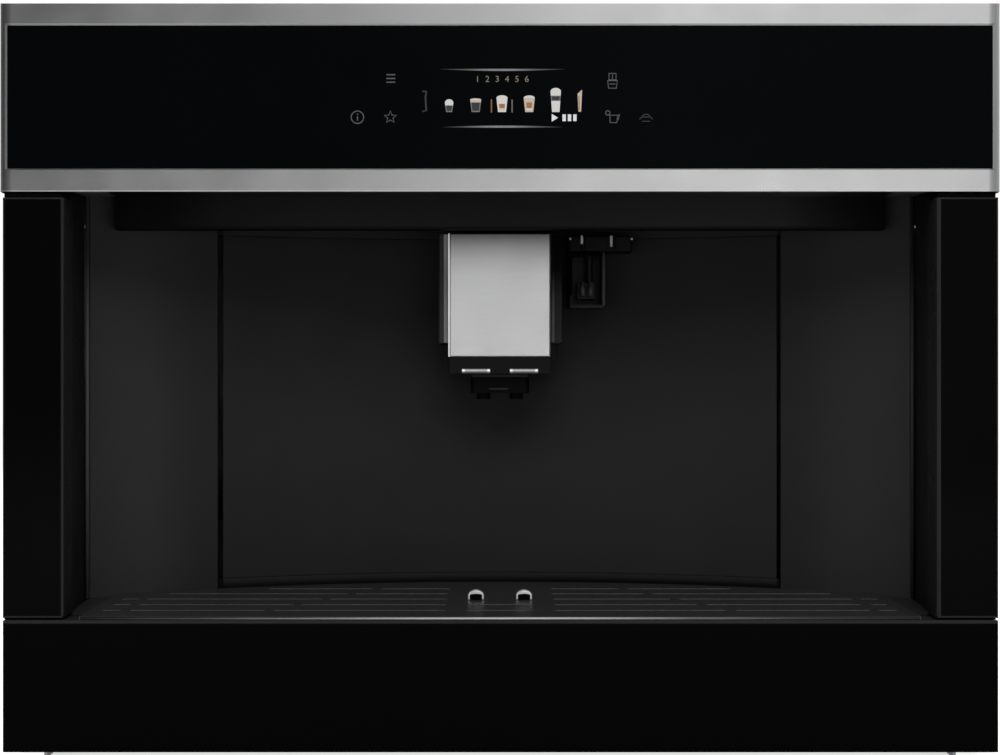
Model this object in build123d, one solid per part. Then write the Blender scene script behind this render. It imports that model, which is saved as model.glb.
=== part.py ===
from build123d import *
import math
import os

# Built in coffee machine for a 560 mm wide, 450 mm high cabinet niche.
# Sizes are in millimetres. X is the width, Z is up from the cabinet shelf, and Y is the
# depth with the front at -Y. Depths are counted backwards from the front plane.

# Whole machine
width = 595.0
height = 455.0
machine_depth = 413.0
front_overlap = 17.5
cabinet_face_depth = 22.0
front_y = -machine_depth / 2
half_width = width / 2
cabinet_opening = width - 2 * front_overlap

# Clearances
slide_gap = 0.3
run_fit = 0.05
glass_gap = 0.3

# Control head
head_height = 112.3
head_depth = 20.0
head_border_side = 4.1
head_border_top = 13.3
head_border_bottom = 14.3
head_steel = 2.0
head_edge_round = 0.8
window_chamfer = 1.2
glass_thickness = 4.0
glass_recess = 0.8
carrier_thickness = 3.0
display_width = 98.0
display_height = 36.0
display_thickness = 8.0
display_x = 2.0
board_thickness = 1.6
board_margin = 29.0
board_clearance = 6.0
head_box_width = 522.0
head_box_depth = 84.0
head_box_wall = 2.0
head_box_top_gap = 5.0
head_bottom = height - head_height

# Lower panel and drip tray
panel_lift = 9.0
panel_height = 78.7
panel_side_gap = 2.0
panel_depth = 18.0
panel_front_wall = 3.0
panel_rib = 3.0
panel_rib_pitch = 100.0
panel_top = panel_lift + panel_height
grille_half_width = 251.0
grille_thickness = 2.0
grille_front = 1.5
grille_top = panel_top + grille_thickness
basin_height = 30.4
basin_wall = 2.0
basin_side_gap = 1.0
basin_corner = 8.0
basin_rib_height = 15.0
basin_bottom = panel_top - basin_height
locating_rim = 3.0
slot_width = 5.0
slot_rows = 5
slot_pitch = 23.7
slot_first_depth = 24.2
slot_inner_end = 33.5
slot_rim = 8.0
slot_land = 5.0
land_first = 141.0
land_step = 14.5
land_outer = 229.0
middle_slot_half = 20.5
middle_slot_rows = 2
dome_x = 15.4
dome_depth = 73.0
dome_radius = 4.3
dome_wall = 0.9
dome_height = 6.3
dome_mouth_half = 2.7
dome_mouth_height = 3.15

# Niche: one arc with its centre in front of the machine
niche_depth = 158.0
niche_radius = 540.0
niche_wall = 2.5
door_wall = 3.0
tray_wall_gap = 2.5
ceiling_rise = 10.3
ceiling_thickness = 3.0
bar_drop = 14.0
bar_half_width = 251.0
bar_wall_gap = 1.1
bar_thickness = 2.5
bar_lip = 10.0
wall_edge_round = 1.2
wall_end_round = 1.1
arc_centre = niche_depth - niche_radius
bar_depth = arc_centre + math.sqrt(niche_radius**2 - bar_half_width**2) - bar_lip - bar_wall_gap
niche_top = head_bottom + ceiling_rise
ceiling_top = niche_top + ceiling_thickness
bar_bottom = head_bottom - bar_drop

# Columns and cheeks
column_width = 35.2
column_side_gap = 2.0
column_front = 1.0
column_front_wall = 3.0
column_side_wall = 2.0
column_gap_top = 3.0
column_gap_bottom = 1.1
column_edge_round = 0.8
column_outer = half_width - column_side_gap
column_inner = column_outer - column_width
cheek_thickness = 1.5
cheek_step = 2.2
cheek_flare = 5.7
cheek_wall_gap = 10.5
wall_end_gap = 0.4
cheek_flange = 12.0
ledge_thickness = 1.5
ledge_gap = 1.5
cheek_start = column_inner + cheek_step
cheek_end = cheek_start + cheek_flare
wall_end = cheek_end + wall_end_gap
cheek_end_depth = arc_centre + math.sqrt(niche_radius**2 - wall_end**2) - cheek_wall_gap

# Service door
wall_left_edge = 191.0
wall_right_edge = 189.9
seam_left = 3.5
seam_right = 2.6
door_gap_bottom = 1.0
door_gap_top = 1.2
header_gap = 1.0
liner_reach = 14.0
liner_wall = 2.0
liner_inset = 1.5
liner_side_inset = 2.0
hinge_inset = 6.5
hinge_behind = 4.6
hinge_pin_radius = 3.0
hinge_pin_length = 11.0
hinge_boss = 10.5
hinge_boss_behind = 7.0
hinge_head_rim = 1.0
hinge_head_height = 1.5
hinge_pin_end_gap = 1.0
hinge_post_half = 7.0
hinge_post_behind = 9.0
hinge_post_gap = 0.5
hinge_post_round = 4.0
liner_depth = niche_depth + liner_reach
door_left = -(wall_left_edge - seam_left)
door_right = wall_right_edge - seam_right
sill_top = grille_top + dome_height
door_bottom = sill_top + door_gap_bottom
door_top = bar_bottom - door_gap_top
header_bottom = door_top + header_gap

# Coffee spout and its guide
guide_half_width = 41.3
guide_reach = 53.0
guide_height = 72.5
guide_wall = 4.0
guide_lip = 2.0
guide_back_gap = 6.0
guide_round = 3.0
plate_half_width = 33.2
plate_lead = 10.0
plate_thickness = 2.0
plate_height = 81.5
plate_edge = 0.8
spout_height = 90.5
spout_shell = 3.0
outlet_half_width = 19.5
outlet_setback = 1.0
outlet_length = 34.0
outlet_height = 13.0
outlet_tip = 4.0
outlet_pitch = 22.0
outlet_radius = 4.5
outlet_bore = 2.5
light_width = 18.4
light_height = 3.2
light_depth = 3.0
light_pitch = 31.6
light_proud = 0.4
guide_depth = niche_depth - guide_reach
guide_back = niche_depth - guide_back_gap
plate_depth = guide_depth - plate_lead
outlet_depth = guide_depth + outlet_setback

# Hot water nozzle
holder_left = 46.0
holder_width = 44.0
holder_height = 9.5
holder_reach = 32.0
holder_plate_gap = 7.7
holder_pin_radius = 1.4
holder_pin_left = 56.4
holder_pin_pitch = 20.8
sheath_width = 25.2
sheath_height = 38.4
sheath_wall = 2.4
sheath_round = 2.0
tube_radius = 2.4
tube_bore = 1.4
nozzle_width = 12.0
nozzle_height = 11.0
nozzle_rise = 6.5
holder_depth = niche_depth - holder_reach
holder_plate_depth = niche_depth - holder_plate_gap
sheath_front = holder_depth

# Chassis
sheet = 1.0
deck_sheet = 1.5
rail_back_inset = 29.0
rail_height = 45.0
rail_space = 12.0
rail_front = 24.0
rail_sheet = 1.2
rail_gap = 0.2
bracket_sheet = 2.0
bracket_side_gap = 1.5
bracket_foot = 38.5
bracket_foot_front = 45.0
mount_hole_radius = 2.25
mount_side_inset = 19.5
mount_back_inset = 22.0
mount_first_depth = 62.0
frame_sheet = 2.0
frame_side_inset = 0.5
frame_top_inset = 2.5
frame_niche_gap = 0.2
frame_head_lap = 3.3
pan_drop = 6.0
pan_front_rise = 8.0
bead_height = 3.0
bead_half_width = 6.0
bead_end_inset = 40.0
upper_bay_height = 56.5
wall_flange = 16.0
deck_rise = 2.5
shelf_sheet = 1.5
shelf_floor_gap = 2.0
joggle_gap = 1.0
upper_side_gap = 0.5
bay_gap = 6.0
bay_back_inset = 41.0
guide_upstand = 9.0
guide_upstand_wall = 2.0
guide_end_gap = 2.0
rail_back = machine_depth - rail_back_inset
mount_spacing_y = rail_back - mount_back_inset - mount_first_depth
bracket_outer = cabinet_opening / 2 - bracket_side_gap
mount_spacing_x = 2 * (bracket_outer - mount_side_inset)
rail_outer = bracket_outer - bracket_sheet
chassis_outer = rail_outer - rail_space
chassis_inner = chassis_outer - sheet
upper_outer = bracket_outer - upper_side_gap
upper_inner = upper_outer - sheet
shelf_top = basin_bottom - slide_gap
shelf_bottom = shelf_top - shelf_sheet
floor_bottom = shelf_top + shelf_floor_gap
floor_top = floor_bottom + deck_sheet
joggle_bottom = floor_bottom - sheet
rail_top = joggle_bottom - joggle_gap
rail_bottom = rail_top - rail_height
pan_bottom = rail_bottom - pan_drop
deck_bottom = door_top + deck_rise
deck_top = deck_bottom + deck_sheet
chassis_top = deck_top + upper_bay_height
cover_top = chassis_top + sheet
chassis_back = machine_depth - sheet
wall_radius = niche_radius + niche_wall
door_radius = niche_radius + door_wall
frame_back = cabinet_face_depth
bay_front = liner_depth + bay_gap
bay_back = machine_depth - bay_back_inset
shelf_depth = bay_front

# Service bay behind the door
partition_x = 66.0
partition_sheet = 1.5
cover_sheet = 2.0
tank_left = 70.0
tank_width = 106.0
tank_wall = 2.5
tank_top_gap = 8.0
tank_corner = 8.0
lid_thickness = 3.0
grip_depth = 40.0
grip_length = 50.0
grip_width = 20.0
stub_radius = 4.0
stub_length = 6.0
stub_rise = 18.0
container_half_width = 62.0
container_length = 152.0
container_height = 89.5
container_wall = 2.0
brew_base_gap = 10.0
brew_base_sheet = 4.0
brew_top_gap = 30.0
brew_half_width = 50.0
brew_plate = 3.0
brew_front_gap = 4.0
brew_length = 148.0
brew_cross_thickness = 6.0
brew_pocket = 2.0
chamber_radius = 22.0
chamber_wall = 3.0
chamber_front_gap = 7.0
chamber_rise = 52.0
chamber_height = 40.0
piston_height = 36.0
piston_travel = 24.0
carriage_thickness = 5.0
carriage_gap = 2.0
carriage_boss = 10.0
spindle_radius = 4.0
spindle_behind = 80.0
spindle_gear_radius = 14.0
spindle_gear_height = 6.0
spindle_gear_teeth = 20
block_left = 175.0
block_width = 90.0
block_front_gap = 22.0
block_length = 90.0
block_height = 26.0
block_corner = 6.0
block_stub = 12.0
fin_inset = 6.0
fin_count = 8
fin_thickness = 3.0
fin_height = 14.0
pump_end_radius = 11.2
pump_coil_radius = 17.5
pump_coil_inset = 22.0
pump_foot_half = 14.4
pump_foot_inset = 33.0
pump_left = 200.0
pump_length = 110.0
pump_back_inset = 21.0
hose_bend = 12.0
switch_x = -120.0
switch_drop = 40.0
switch_width = 19.0
switch_height = 10.8
switch_gap = 0.6
switch_pivot_radius = 1.5
switch_lug = 2.0
switch_pivot_gap = 2.0
switch_lug_half_height = 5.0
switch_lug_reach = 4.0
switch_proud = 0.4
switch_crown = 1.0
switch_tail = 2.6
switch_tail_half = 3.8
powder_depth = bay_front + chamber_front_gap + chamber_wall + chamber_radius
brew_base = floor_top + container_height + brew_base_gap
brew_top = deck_bottom - brew_top_gap
block_front = bay_front + block_front_gap
pump_depth = machine_depth - pump_back_inset
switch_z = deck_bottom - switch_drop

# Coffee side above the deck
grinder_setback_depth = 90.0
grinder_radius = 45.0
grinder_top_gap = 2.0
grinder_cavity = 24.0
cavity_gap = 2.0
grinder_inlet = 18.0
burr_radius = 20.0
burr_top_radius = 9.0
burr_groove = 1.4
burr_height = 16.0
burr_shaft = 4.0
burr_shaft_length = 19.0
burr_floor = 31.0
burr_flutes = 12
chute_width = 24.0
chute_entry = 36.0
chute_height = 20.0
hopper_half_width = 95.0
hopper_reach = 54.0
hopper_back_inset = 39.0
hopper_height = 39.0
hopper_wall = 2.5
throat_wall = 2.7
throat_gap = 0.3
lid_overhang = 2.0
hinge_lug_x = 60.0
hinge_lug_width = 6.0
hinge_lug_drop = 10.0
hinge_lug_radius = 4.0
lid_axis_behind = 5.0
lid_axis_rise = 2.0
lid_corner = 4.0
lid_pin_radius = 2.0
lid_barrel = 3.0
funnel_half_width = 30.0
funnel_length = 46.0
funnel_height = 21.0
funnel_wall = 3.0
duct_width = 28.0
duct_length = 22.0
duct_wall = 2.0
knob_x = 125.0
knob_radius = 13.0
knob_height = 11.7
knob_shaft = 3.0
knob_flutes = 18
knob_flute = 1.1
knob_chamfer = 1.5
knob_shaft_drop = 8.0
board_left = 110.0
board_width = 150.0
board_back_inset = 33.0
board_length = 150.0
board_rise = 6.0
standoff_radius = 3.0
standoff_inset = 8.0
coil_width = 42.0
coil_length = 36.0
coil_height = 30.0
coil_inset = 20.0
capacitor_radius = 8.0
capacitor_height = 24.0
capacitor_pitch = 22.0
capacitor_inset = 30.0
relay_width = 16.0
relay_length = 22.0
relay_height = 15.0
relay_pitch = 20.0
relay_front = 70.0
inlet_x = -230.0
inlet_z = 120.0
inlet_width = 27.6
inlet_height = 19.6
inlet_depth = 17.0
inlet_flange = 4.0
inlet_flange_thickness = 2.0
inlet_wall = 1.8
inlet_bottom = 2.0
inlet_pin_pitch = 7.0
inlet_pin_half_width = 1.0
inlet_pin_half_height = 2.0
inlet_pin_low = -1.5
inlet_earth_rise = 2.5
vent_length = 40.0
vent_width = 4.0
vent_pitch = 9.0
vent_rows = 6
vent_columns = 2
vent_column_pitch = 56.0
vent_drop = 30.0
cover_vents = 9
cover_front_gap = 2.0
grinder_depth = powder_depth + grinder_setback_depth
hopper_front = grinder_depth - hopper_reach
hopper_back = machine_depth - hopper_back_inset
board_front = machine_depth - board_back_inset - board_length
vent_middle_z = deck_bottom - vent_drop


def span(x0, x1, d0, d1, z0, z1):
    """A block between two widths, two depths behind the front plane and two heights."""
    middle = Pos((x0 + x1) / 2, front_y + (d0 + d1) / 2, (z0 + z1) / 2)
    return middle * Box(x1 - x0, d1 - d0, z1 - z0)


def centred(half, d0, d1, z0, z1):
    """A block that reaches as far left as right."""
    return span(-half, half, d0, d1, z0, z1)


def post(x, depth, radius, z0, z1):
    """An upright round bar."""
    return Pos(x, front_y + depth, (z0 + z1) / 2) * Cylinder(radius, z1 - z0)


def cross_bar(x0, x1, depth, z, radius):
    """A round bar along the width."""
    return Pos((x0 + x1) / 2, front_y + depth, z) * Rot(0, 90, 0) * Cylinder(radius, x1 - x0)


def raised(outline, z0, z1):
    """A flat outline made into a solid between two heights."""
    return extrude(Pos(0, 0, z0) * outline, amount=z1 - z0, dir=(0, 0, 1))


def polygon(points, z0, z1):
    """A solid whose plan is the polygon through points of width and depth."""
    corners = [(x, front_y + depth) for x, depth in points]
    return raised(make_face(Polyline(*corners, close=True)), z0, z1)


def arc_depth(x, radius):
    """Depth of a niche arc of the given radius at width x."""
    return arc_centre + math.sqrt(radius**2 - x**2)


def arc_line(x0, x1, radius):
    """The stretch of a niche arc between two widths, in plan."""
    stops = (x0, (x0 + x1) / 2, x1)
    return ThreePointArc(*[(x, front_y + arc_depth(x, radius)) for x in stops])


def arc_wall(x0, x1, inner, outer, z0, z1):
    """A curved wall of the niche between two widths and two heights."""
    near = arc_line(x0, x1, inner)
    far = arc_line(x0, x1, outer)
    ends = [Line(near @ 0, far @ 0), Line(near @ 1, far @ 1)]
    return raised(make_face([near, far, *ends]), z0, z1)


def before_arc(x0, x1, d0, radius, z0, z1):
    """A solid from a flat front at depth d0 back to a niche arc."""
    back = arc_line(x0, x1, radius)
    sides = Polyline(back @ 0, (x0, front_y + d0), (x1, front_y + d0), back @ 1)
    return raised(make_face([back, sides]), z0, z1)


def behind_arc(x0, x1, radius, d1, z0, z1):
    """A solid from a niche arc back to a flat rear at depth d1."""
    near = arc_line(x0, x1, radius)
    sides = Polyline(near @ 0, (x0, front_y + d1), (x1, front_y + d1), near @ 1)
    return raised(make_face([near, sides]), z0, z1)


def both_sides(shape):
    """The piece and its mirror image on the other side of the machine."""
    return Compound([*shape.solids(), *mirror(shape, about=Plane.YZ).solids()])


def upright_edges(shape):
    """The vertical edges of a shape."""
    return shape.edges().filter_by(Axis.Z)


def vents_through(x, z, depth):
    """Round ended vents in rows through an upright sheet, as cutting shapes."""
    slot = extrude(Plane.XZ * SlotOverall(vent_length, vent_width), amount=4 * sheet, both=True)
    cut = []
    for row in range(vent_rows):
        for column in range(vent_columns):
            place_x = x + (column - (vent_columns - 1) / 2) * vent_column_pitch
            place_z = z + (row - (vent_rows - 1) / 2) * 2 * vent_pitch
            cut.append(Pos(place_x, front_y + depth, place_z) * slot)
    return cut


# ---------------------------------------------------------------- control head


def control_frame():
    """Brushed steel frame, open at the back, round the glass."""
    body = centred(half_width, 0, head_depth, head_bottom, height)
    body = fillet(body.faces().sort_by(Axis.Y)[0].edges(), head_edge_round)
    inside = half_width - head_steel
    body -= centred(
        inside, head_steel, head_depth, head_bottom + head_steel, height - head_steel
    )
    window_half = half_width - head_border_side
    body -= centred(
        window_half,
        -head_steel,
        head_depth,
        head_bottom + head_border_bottom,
        height - head_border_top,
    )
    window = body.faces().sort_by(Axis.Y)[0].inner_wires()[0]
    return chamfer(window.edges(), window_chamfer)


def control_glass():
    """Black glass set into the frame's window."""
    return centred(
        half_width - head_border_side - glass_gap,
        glass_recess,
        glass_recess + glass_thickness,
        head_bottom + head_border_bottom + glass_gap,
        height - head_border_top - glass_gap,
    )


glass_back = glass_recess + glass_thickness
carrier_back = glass_back + carrier_thickness
display_z = (head_bottom + head_border_bottom + height - head_border_top) / 2
box_bottom = ceiling_top
box_top = height - head_box_top_gap


def display_block(grow, d0, d1):
    """The room of the display, grown all round."""
    half_w = display_width / 2 + grow
    half_h = display_height / 2 + grow
    low = display_z - half_h
    high = display_z + half_h
    return span(display_x - half_w, display_x + half_w, d0, d1, low, high)


def control_housing():
    """Carrier plate behind the glass with the closed box for the electronics."""
    inside = half_width - head_steel - slide_gap
    low = head_bottom + head_steel + slide_gap
    high = height - head_steel - slide_gap
    body = centred(inside, glass_back, carrier_back, low, high)
    half = head_box_width / 2
    body += centred(half, carrier_back, head_box_depth, box_bottom, box_top)
    wall = head_box_wall
    body -= centred(
        half - wall,
        carrier_back,
        head_box_depth - wall,
        box_bottom + wall,
        box_top - wall,
    )
    return body - display_block(slide_gap, glass_back, carrier_back)


def display_module():
    """Display behind the glass on the board that carries the touch sensors."""
    body = display_block(0, glass_back, glass_back + display_thickness)
    half = head_box_width / 2 - board_margin
    low = box_bottom + head_box_wall + board_clearance
    high = box_top - head_box_wall - board_clearance
    return body + centred(half, carrier_back, carrier_back + board_thickness, low, high)


# ---------------------------------------------------------------- front and niche


def column():
    """Glossy column at the right of the niche, open at the back."""
    low = panel_top + column_gap_bottom
    high = head_bottom - column_gap_top
    body = span(column_inner, column_outer, column_front, head_depth, low, high)
    body = fillet(body.faces().sort_by(Axis.Y)[0].edges(), column_edge_round)
    wall = column_side_wall
    return body - span(
        column_inner + wall,
        column_outer - wall,
        column_front + column_front_wall,
        head_depth,
        low + wall,
        high - wall,
    )


def niche_cheeks():
    """Flared side walls between the columns and the niche, with a ledge at the tray."""
    thick = cheek_thickness
    flange_end = cheek_start + thick + cheek_flange
    outline = [
        (flange_end, frame_back),
        (cheek_start, frame_back),
        (cheek_end, cheek_end_depth),
        (cheek_end + thick, cheek_end_depth),
        (cheek_start + thick, frame_back + thick),
        (flange_end, frame_back + thick),
    ]
    wall = polygon(outline, floor_bottom, niche_top)
    inner = grille_half_width + ledge_gap
    rear = arc_depth(cheek_end, niche_radius) - slide_gap
    rear_inner = arc_depth(inner, niche_radius) - slide_gap
    ledge = [
        (inner, frame_back),
        (cheek_start, frame_back),
        (cheek_end, cheek_end_depth),
        (cheek_end, rear),
        (inner, rear_inner),
    ]
    high = panel_top + slide_gap
    return both_sides(wall + polygon(ledge, high - ledge_thickness, high))


def niche_panel(x0, x1):
    """Fixed wall panel of the niche beside the door, its front edge rounded."""
    wall = arc_wall(x0, x1, niche_radius, wall_radius, floor_bottom, niche_top)
    outer = upright_edges(wall).sort_by(lambda edge: abs(edge.center().X))[-2:]
    return fillet(outer, wall_end_round)


def niche_sill():
    """Curved strip under the door, behind the drip tray."""
    return arc_wall(
        -wall_left_edge, wall_right_edge, niche_radius, wall_radius, floor_bottom, sill_top
    )


def niche_header():
    """Curved strip above the door, under the ceiling."""
    return arc_wall(
        -wall_left_edge, wall_right_edge, niche_radius, wall_radius, header_bottom, niche_top
    )


def niche_ceiling():
    """Flat ceiling of the niche from the front frame to behind the door."""
    return centred(upper_inner, frame_back, shelf_depth, niche_top, ceiling_top)


def upper_bar():
    """Dark bar under the control head, with its lip turned backwards."""
    front = centred(
        bar_half_width, bar_depth, bar_depth + bar_thickness, bar_bottom, niche_top
    )
    lip = centred(
        bar_half_width, bar_depth, bar_depth + bar_lip, bar_bottom, bar_bottom + niche_wall
    )
    body = front + lip
    corner = body.edges().filter_by(Axis.X).sort_by(Axis.Y)[:2].sort_by(Axis.Z)[0]
    return fillet(corner, wall_edge_round)


# ---------------------------------------------------------------- door and spouts

hinge_x = door_left + hinge_inset
hinge_depth = arc_depth(hinge_x, door_radius) + hinge_behind
liner_bottom = door_bottom + liner_inset
liner_top = door_top - liner_inset


def door_panel():
    """Curved middle panel of the niche, hinged at its left edge."""
    panel = arc_wall(door_left, door_right, niche_radius, door_radius, door_bottom, door_top)
    front = upright_edges(panel).group_by(Axis.Y)[0]
    return fillet(front, wall_edge_round)


def door_liner():
    """Inner tub of the door with the bosses for its hinge pins."""
    left = door_left + liner_side_inset
    right = door_right - liner_side_inset
    outer = behind_arc(left, right, door_radius, liner_depth, liner_bottom, liner_top)
    wall = liner_wall
    inner = behind_arc(
        left + wall,
        right - wall,
        niche_radius,
        liner_depth - wall,
        liner_bottom + wall,
        liner_top - wall,
    )
    boss = span(
        left,
        left + hinge_boss,
        niche_depth / 2,
        hinge_depth + hinge_boss_behind,
        liner_bottom,
        liner_top,
    )
    body = (outer - inner) + (boss & outer)
    for z in (liner_bottom, liner_top):
        low = z - hinge_pin_length
        high = z + hinge_pin_length
        body -= post(hinge_x, hinge_depth, hinge_pin_radius + run_fit, low, high)
    return body


def door_hinge():
    """Upper pin held by the deck, and the lower post with its pin."""
    reach = hinge_pin_length - hinge_pin_end_gap
    top_pin = post(hinge_x, hinge_depth, hinge_pin_radius, liner_top - reach, deck_top)
    head_radius = hinge_pin_radius + hinge_head_rim
    top_pin += post(
        hinge_x, hinge_depth, head_radius, deck_top, deck_top + hinge_head_height
    )
    half = hinge_post_half
    low_post = span(
        hinge_x - half,
        hinge_x + half,
        arc_depth(hinge_x + half, wall_radius) + hinge_post_gap,
        hinge_depth + hinge_post_behind,
        floor_top,
        sill_top - hinge_post_gap,
    )
    low_post = fillet(upright_edges(low_post).sort_by(Axis.Y)[-2:], hinge_post_round)
    low_post += post(
        hinge_x, hinge_depth, hinge_pin_radius, floor_top, liner_bottom + reach
    )
    return Compound([*top_pin.solids(), *low_post.solids()])


def spout_housing():
    """Guide on the door in which the coffee spout slides."""
    half = guide_half_width
    low = door_top - guide_height
    body = before_arc(-half, half, guide_depth, niche_radius, low, door_top)
    front = upright_edges(body).group_by(Axis.Y)[0]
    body = fillet(front, guide_round)
    channel = half - guide_wall
    ceiling = door_top - guide_lip
    body -= centred(channel, guide_depth + guide_lip, guide_back, low, ceiling)
    mouth = plate_half_width + slide_gap
    return body - centred(mouth, guide_depth, guide_back, low, ceiling)


plate_back = plate_depth + plate_thickness
spout_top = door_top - guide_lip - slide_gap
spout_bottom = spout_top - spout_height


def spout_body():
    """Sliding body of the coffee spout with its two outlets."""
    rear_half = guide_half_width - guide_wall - slide_gap
    rear_front = guide_depth + guide_lip + slide_gap
    rear = centred(
        rear_half, rear_front, guide_back - slide_gap, spout_bottom, spout_top
    )
    front = centred(plate_half_width, plate_back, rear_front, spout_bottom, spout_top)
    body = rear + front
    shell = spout_shell
    body -= centred(
        plate_half_width - shell,
        plate_back + shell,
        guide_back,
        spout_bottom + shell,
        spout_top - shell,
    )
    outlet_back = outlet_depth + outlet_length
    outlet_low = spout_bottom - outlet_height
    outlets = centred(outlet_half_width, outlet_depth, outlet_back, outlet_low, spout_bottom)
    outlets = fillet(upright_edges(outlets), outlet_radius)
    for x in (-outlet_pitch / 2, outlet_pitch / 2):
        middle = (outlet_depth + outlet_back) / 2
        outlets += post(x, middle, outlet_radius, outlet_low - outlet_tip, outlet_low)
    body += outlets
    for x in (-outlet_pitch / 2, outlet_pitch / 2):
        middle = (outlet_depth + outlet_back) / 2
        top = spout_bottom + shell
        body -= post(x, middle, outlet_bore, outlet_low - outlet_tip, top)
    for light in spout_light_blocks():
        body -= light
    return body


def spout_light_blocks():
    """The two lamps under the plate, each a small bar."""
    blocks = []
    for x in (-light_pitch / 2, light_pitch / 2):
        blocks.append(
            span(
                x - light_width / 2,
                x + light_width / 2,
                plate_back - light_proud,
                plate_back - light_proud + light_depth,
                spout_bottom,
                spout_bottom + light_height,
            )
        )
    return blocks


def spout_lights():
    """Lamps that light the cups."""
    return Compound([solid for block in spout_light_blocks() for solid in block.solids()])


def spout_plate():
    """Brushed metal front plate of the coffee spout."""
    top = spout_top + guide_lip
    body = centred(plate_half_width, plate_depth, plate_back, top - plate_height, top)
    return chamfer(body.faces().sort_by(Axis.Y)[0].edges(), plate_edge)


holder_bottom = door_top - holder_height
sheath_right = holder_left + sheath_width + 2 * slide_gap
sheath_top = holder_bottom - slide_gap
sheath_bottom = sheath_top - sheath_height


def nozzle_holder():
    """Holder on the door for the hot water spout, with its two locking pins."""
    right = holder_left + holder_width
    body = before_arc(
        holder_left, right, holder_depth, niche_radius, holder_bottom, door_top
    )
    body = fillet(upright_edges(body).group_by(Axis.Y)[0], sheath_round)
    body += before_arc(
        holder_left + sheath_wall,
        sheath_right - sheath_wall,
        holder_plate_depth,
        niche_radius,
        sheath_bottom + sheath_wall,
        holder_bottom,
    )
    for x in (holder_pin_left, holder_pin_left + holder_pin_pitch):
        low = holder_bottom + 1
        body += post(x, holder_depth, holder_pin_radius, low, door_top)
    return body


def water_spout():
    """Removable hot water spout: a sheath open to the front with the tube inside."""
    left = holder_left + slide_gap
    right = left + sheath_width
    back = holder_plate_depth - slide_gap
    body = span(left, right, sheath_front, back, sheath_bottom, sheath_top)
    body = fillet(upright_edges(body).group_by(Axis.Y)[0], sheath_round)
    wall = sheath_wall
    body -= span(
        left + wall,
        right - wall,
        sheath_front,
        back - wall,
        sheath_bottom + wall,
        sheath_top - wall,
    )
    middle = (left + right) / 2
    tube_depth = (sheath_front + back) / 2
    nozzle_low = sheath_bottom + nozzle_rise
    nozzle_high = nozzle_low + nozzle_height
    nozzle_left = middle - nozzle_width / 2
    body += span(
        nozzle_left,
        nozzle_left + nozzle_width,
        tube_depth - nozzle_width / 3,
        back - wall,
        nozzle_low,
        nozzle_high,
    )
    body += post(middle + tube_radius, tube_depth, tube_radius, nozzle_high, sheath_top)
    body -= post(middle + tube_radius, tube_depth, tube_bore, nozzle_low, sheath_top)
    return body


# ---------------------------------------------------------------- drip tray

panel_half = half_width - panel_side_gap
basin_half = grille_half_width - basin_side_gap
basin_radius = niche_radius - tray_wall_gap - basin_side_gap
grille_radius = niche_radius - tray_wall_gap


def lower_panel():
    """Front of the drip tray drawer, ribbed behind where the basin meets it."""
    body = centred(panel_half, 0, panel_depth, panel_lift, panel_top)
    body = fillet(body.faces().sort_by(Axis.Y)[0].edges(), head_edge_round)
    wall = panel_front_wall
    body -= centred(
        panel_half - wall, wall, panel_depth, panel_lift + wall, panel_top - wall
    )
    for number in range(-2, 3):
        x = number * panel_rib_pitch
        body += span(
            x - panel_rib / 2,
            x + panel_rib / 2,
            wall,
            panel_depth,
            panel_lift + wall,
            panel_top - wall,
        )
    return body


def drip_basin():
    """Basin that catches the drips, its rear wall on the niche arc."""
    half = basin_half
    body = before_arc(-half, half, panel_depth, basin_radius, basin_bottom, panel_top)
    body = fillet(upright_edges(body).group_by(Axis.Y)[0], basin_corner)
    wall = basin_wall
    hollow = before_arc(
        wall - half,
        half - wall,
        panel_depth + wall,
        basin_radius - wall,
        basin_bottom + wall,
        panel_top,
    )
    hollow = fillet(upright_edges(hollow).group_by(Axis.Y)[0], basin_corner - wall)
    rib_back = arc_depth(0, basin_radius - wall)
    rib = centred(
        wall / 2,
        panel_depth + wall,
        rib_back,
        basin_bottom + wall,
        basin_bottom + basin_rib_height,
    )
    return (body - hollow) + rib


def grille_slot(x0, x1, depth):
    """One drain slot between two widths."""
    slot = Pos((x0 + x1) / 2, front_y + depth) * SlotOverall(x1 - x0, slot_width)
    return raised(slot, panel_top - 2 * locating_rim, grille_top + 1)


def row_end(depth):
    """Outermost width that a slot row reaches inside the grille's rim."""
    rim = grille_radius - slot_rim
    reach = math.sqrt(rim**2 - (depth + slot_width - arc_centre) ** 2)
    return min(grille_half_width - slot_rim, reach)


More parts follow.
